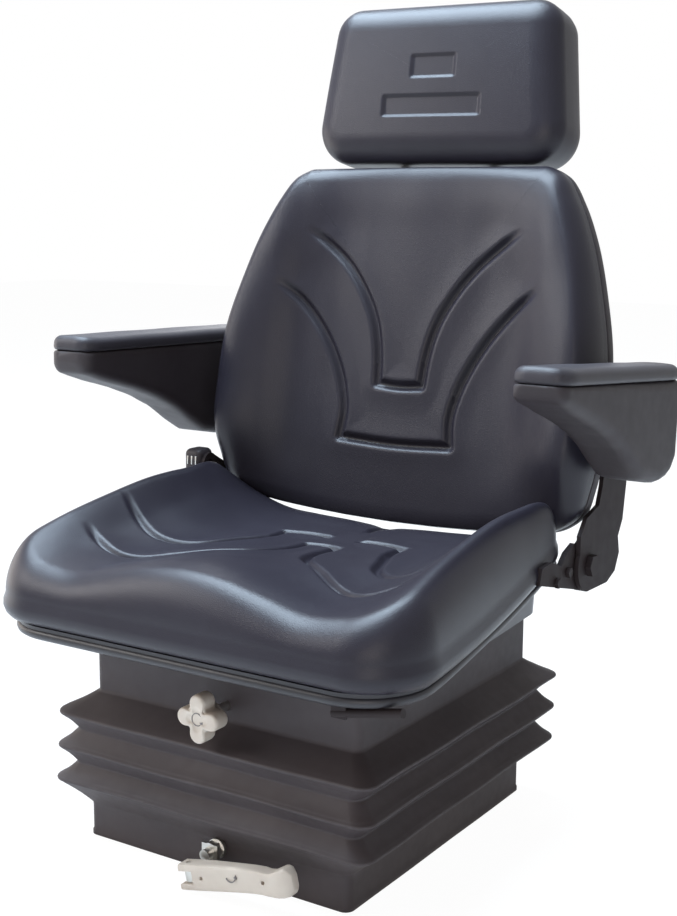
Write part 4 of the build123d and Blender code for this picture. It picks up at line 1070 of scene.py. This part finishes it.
buildStarKnob(starKnob)
print("star knob made")

# Folding weight handle, in its own frame: along, through, up, about its pivot
weightHandle = {
    "pivot": (8, -230, 17.5), "tilt": 12.5, "depth": 19, "height": 27, "ringCount": 28, "edge": 2.6,
    "along": (-8, -4, 2, 8, 9, 14, 22, 30, 44, 58, 70, 82, 92, 100, 106, 112, 118, 122, 125, 128, 129.8),
    "top": (
        (-8, 0), (30, 0), (60, -1), (90, -3), (98, -5.5), (105, -6), (113, -3), (121, 0), (126, -2), (130, -7),
    ),
    "bottom": ((-8, 0), (88, 0), (101, -2), (115, -3), (126, -1), (130, 5)),
    "side": ((-8, 0), (10, 0), (60, -1.5), (97, -0.5), (117, 0), (126, -2), (130, -5)),
    "window": ((-10, -6.8), (8.5, 6.8)), "panel": ((24, -7), (92, 7)), "panelDepth": 0.4, "past": 2,
    "pin": 3.1, "holes": ((20, 0, 2.0), (97, -1, 2.2)), "holeDepth": 6,
    "bevel": 0.6, "bevelAngle": 40, "sharpAngle": 35,
    "mark": (6.0, 1.0, 200, 340), "markAt": (58, 4),
}


def buildHandle(s):
    half, high = s["depth"] / 2, s["height"] / 2
    along = np.array(s["along"])
    tops, bottoms, sides = (
        level + np.interp(along, *np.array(s[key], float).T)
        for key, level in (("top", high), ("bottom", -high), ("side", half))
    )
    points = []
    for u, top, bottom, side in zip(along, tops, bottoms, sides):
        spots = walkSection(roundedSection(side, bottom, top, s["edge"]), s["ringCount"])
        points += [(u, x, z) for x, z in spots]
    faces = ringFaces(len(along), s["ringCount"])
    body = meshPiece("weightHandleGrip", np.array(points) * mm, faces, beigePlastic)
    cleanNormals(body)
    face = -half - s["past"]
    cutters = []
    for key, back in (("window", half + s["past"]), ("panel", s["panelDepth"] - half)):
        (x0, z0), (x1, z1) = s[key]
        cutters.append(boxMesh(key, (x0, face, z0), (x1, back, z1)))
    cutters.append(tubeMesh("pinBore", (0, 0, -s["height"]), (0, 0, s["height"]), s["pin"]))
    for x, z, radius in s["holes"]:
        cutters.append(tubeMesh("hole", (x, face, z), (x, s["holeDepth"] - half, z), radius))
    for cutter in cutters:
        cut = body.modifiers.new("cut", "BOOLEAN")
        cut.operation = "DIFFERENCE"
        cut.solver = "EXACT"
        cut.object = cutter
    soften = body.modifiers.new("soften", "BEVEL")
    soften.width = s["bevel"] * mm
    soften.segments = 2
    soften.limit_method = "ANGLE"
    soften.angle_limit = math.radians(s["bevelAngle"])
    finishModifiers(body)
    for cutter in cutters:
        bpy.data.objects.remove(cutter)
    tilt = Matrix.Rotation(math.radians(-s["tilt"]), 4, "Y")
    turn = Matrix.Translation(Vector(s["pivot"]) * mm) @ tilt
    body.data.transform(turn)
    body.data.shade_smooth()
    body.data.set_sharp_from_angle(angle=math.radians(s["sharpAngle"]))
    place(body, "handle", "grey_plastic", "weight_handle")
    across, up = s["markAt"]
    mark = curvedArrow("handleMark", *s["mark"], -half + 0.1, up)
    mark.data.transform(Matrix.Translation(Vector((across, 0, 0)) * mm))
    mark.data.transform(turn)
    place(mark, "handle", "grey_plastic")


def boxMesh(name, low, high):
    points = [(x, y, z) for x in (low[0], high[0]) for y in (low[1], high[1]) for z in (low[2], high[2])]
    faces = [(0, 1, 3, 2), (4, 6, 7, 5), (0, 4, 5, 1), (2, 3, 7, 6), (0, 2, 6, 4), (1, 5, 7, 3)]
    return meshPiece(name, np.array(points) * mm, faces, beigePlastic, smooth=False)


def tubeMesh(name, start, end, radius, count=32):
    start, end = Vector(start), Vector(end)
    axis = (end - start).normalized()
    side = axis.orthogonal().normalized()
    other = axis.cross(side)
    points = []
    for spot in (start, end):
        for k in range(count):
            turn = 2 * math.pi * k / count
            points.append(tuple(spot + side * radius * math.cos(turn) + other * radius * math.sin(turn)))
    return meshPiece(name, np.array(points) * mm, ringFaces(2, count), beigePlastic, smooth=False)


buildHandle(weightHandle)
print("weight handle made")

# Recliner grip: a rounded block with three bright ribs on its front
reclinerGrip = {
    "centre": (-264, 130, 362), "size": (26, 30, 32), "soften": 7.5, "ribs": 3, "ribGap": 6.4,
    "ribSize": (2.2, 2.4, 11), "ribSoften": 0.8, "ribShift": (0.5, 0.4, 2),
}


def buildReclinerGrip(s):
    centre, half = np.array(s["centre"], float), np.array(s["size"], float) / 2
    grip = boxMesh("reclinerGrip", tuple(centre - half), tuple(centre + half))
    softenPiece(grip, s["soften"], 5, armPlastic)
    place(grip, "recliner", "arm_plastic", "recliner_knob")
    reach = np.array(s["ribSize"], float) / 2
    right, back, up = s["ribShift"]
    for n in range(s["ribs"]):
        spot = centre + (right + (n - (s["ribs"] - 1) / 2) * s["ribGap"], back - half[1], up)
        rib = boxMesh("reclinerRib", tuple(spot - reach), tuple(spot + reach))
        softenPiece(rib, s["ribSoften"], 2, zincSteel)
        place(rib, "recliner", "zinc_steel")


def softenPiece(piece, width, segments, material):
    soften = piece.modifiers.new("soften", "BEVEL")
    soften.width = width * mm
    soften.segments = segments
    finishModifiers(piece)
    piece.data.materials.clear()
    piece.data.materials.append(material)
    piece.data.shade_smooth()


buildReclinerGrip(reclinerGrip)
print("recliner grip made")

# Rolled bead along the pan's lip, grown by Geometry Nodes
rimBead = {
    "radius": 5.6, "outline": (-242.5, 155.5, 249.5, 223.5, 66, 24), "raise": 4.6,
    "frontDrop": 3.6, "dropFrom": -60, "dropOver": 120, "gridCount": 50, "sides": 10,
}


def beadTree(sides):
    tree, given, groupOut = newTree("rimBead", [
        ("Radius", "NodeSocketFloat", 0.002), ("Material", "NodeSocketMaterial", None),
    ])
    path = joined(tree, "GeometryNodeMeshToCurve", {"Mesh": given["Geometry"]})
    section = joined(tree, "GeometryNodeCurvePrimitiveCircle", {"Radius": given["Radius"]}, Resolution=sides)
    sweep = joined(
        tree, "GeometryNodeCurveToMesh", {"Curve": path.outputs[0], "Profile Curve": section.outputs[0]},
    )
    smooth = joined(tree, "GeometryNodeSetShadeSmooth", {"Geometry": sweep.outputs[0]})
    return finishTree(tree, smooth.outputs[0], given["Material"], groupOut)


def buildRimBead(s):
    outline, normals = taperedOutline(*s["outline"], s["gridCount"])
    drop = s["frontDrop"] * softStep((s["dropFrom"] - outline[:, 1]) / s["dropOver"])
    spots = np.column_stack([outline, rimLevel(outline[:, 1]) + s["raise"] - drop]) * mm
    seed = bpy.data.meshes.new("rimPath")
    count = len(spots)
    seed.from_pydata([tuple(p) for p in spots], [(k, (k + 1) % count) for k in range(count)], [])
    values = {"Radius": s["radius"] * mm, "Material": powderCoat}
    place(growPiece("panRimBead", seed, beadTree(s["sides"]), values), "seat", "black_steel")


buildRimBead(rimBead)
print("rim bead grown")

# Studio: lamps are name, place, target, size, power and colour
studio = {
    "camera": (871.43, -1292.23, 677.09), "yaw": 33.005, "pitch": 9.757, "roll": 0.314,
    "focalPixels": 1445.9, "height": 916,
    "lights": (
        ("keyPanel", (-1900, -1500, 1700), (0, 0, 450), 1.1, 29, (1, 0.97, 0.94)),
        ("leftPanel", (-2200, -200, 350), (0, 0, 400), 1.6, 17, (1, 0.91, 0.84)),
        ("frontPanel", (1150, -2050, 800), (0, 0, 450), 0.9, 8.5, (1, 0.91, 0.86)),
        ("topPanel", (-750, -60, 2900), (0, -50, 330), 2.1, 255, (0.68, 0.84, 1)),
        ("rearPanel", (-900, 1700, 1100), (0, 0, 500), 1.0, 6, (1, 1, 1)),
    ),
    "world": 0.22, "mirrorShare": 0.55, "floorHalf": 9, "floorLevel": -0.0005, "floorGlow": 1.07, "glowShare": 0.9,
}


def buildCamera(s):
    yaw, pitch, roll = (math.radians(s[key]) for key in ("yaw", "pitch", "roll"))
    ahead = Vector((-math.sin(yaw) * math.cos(pitch), math.cos(yaw) * math.cos(pitch), -math.sin(pitch)))
    right = Vector((math.cos(yaw), math.sin(yaw), 0))
    up = right.cross(ahead)
    across = right * math.cos(roll) + up * math.sin(roll)
    above = up * math.cos(roll) - right * math.sin(roll)
    camera = bpy.data.cameras.new("studioCamera")
    camera.sensor_width = 36
    camera.lens = s["focalPixels"] * camera.sensor_width / s["height"]
    holder = addObject("studioCamera", camera)
    turn = Matrix((across, above, -ahead)).transposed().to_4x4()
    holder.matrix_world = Matrix.Translation(Vector(s["camera"]) * mm) @ turn
    bpy.context.scene.camera = holder


def buildLights(s):
    for name, spot, target, size, power, colour in s["lights"]:
        lamp = bpy.data.lights.new(name, "AREA")
        lamp.shape = "SQUARE"
        lamp.size = size
        lamp.energy = power
        lamp.color = colour
        aim = (Vector(target) - Vector(spot)).to_track_quat("-Z", "Y")
        holder = addObject(name, lamp)
        holder.matrix_world = Matrix.Translation(Vector(spot) * mm) @ aim.to_matrix().to_4x4()


def whiteForCamera(tree, s):
    rays = tree.nodes.new("ShaderNodeLightPath").outputs
    mirrorRays = mathNode(tree, "MULTIPLY", rays["Is Glossy Ray"], s["mirrorShare"])
    seen = mathNode(tree, "MAXIMUM", rays["Is Camera Ray"], mirrorRays)
    return mathNode(tree, "MAXIMUM", seen, rays["Is Transmission Ray"])


def mixedShaders(tree, share, first, second, target):
    mix = joined(tree, "ShaderNodeMixShader", {0: share, 1: first.outputs[0], 2: second.outputs[0]})
    tree.links.new(mix.outputs[0], target.inputs[0])


def buildWorld(s):
    world = bpy.data.worlds.new("studioWorld")
    bpy.context.scene.world = world
    world.use_nodes = True
    tree = world.node_tree
    tree.nodes.clear()
    plain = addNode(tree, "ShaderNodeBackground", Strength=s["world"], Color=(0.96, 0.98, 1, 1))
    white = addNode(tree, "ShaderNodeBackground", Strength=1.0, Color=(1, 1, 1, 1))
    mixedShaders(tree, whiteForCamera(tree, s), plain, white, tree.nodes.new("ShaderNodeOutputWorld"))


def floorMaterial(s):
    material, tree, shader = nodeMaterial("paleFloor")
    clouds = noiseField(tree, addNode(tree, "ShaderNodeTexCoord"), 2, 3)
    colour = colourMix(tree, clouds.outputs["Fac"], (0.9, 0.9, 0.9), (0.93, 0.93, 0.93))
    tree.links.new(colour, shader.inputs["Base Color"])
    shader.inputs["Roughness"].default_value = 0.8
    shader.inputs["Specular IOR Level"].default_value = 0.1
    glow = addNode(tree, "ShaderNodeEmission", Strength=s["floorGlow"])
    share = mathNode(tree, "MULTIPLY", whiteForCamera(tree, s), s["glowShare"])
    mixedShaders(tree, share, shader, glow, tree.nodes["Material Output"])
    return material


def buildFloor(s):
    half, level = s["floorHalf"], s["floorLevel"]
    corners = [(-half, -half, level), (half, -half, level), (half, half, level), (-half, half, level)]
    floor = meshPiece("studioFloor", corners, [(0, 1, 2, 3)], floorMaterial(s), smooth=False)


buildCamera(studio)
buildLights(studio)
buildWorld(studio)
buildFloor(studio)
bpy.context.scene.view_settings.view_transform = "Standard"
print("studio lit")
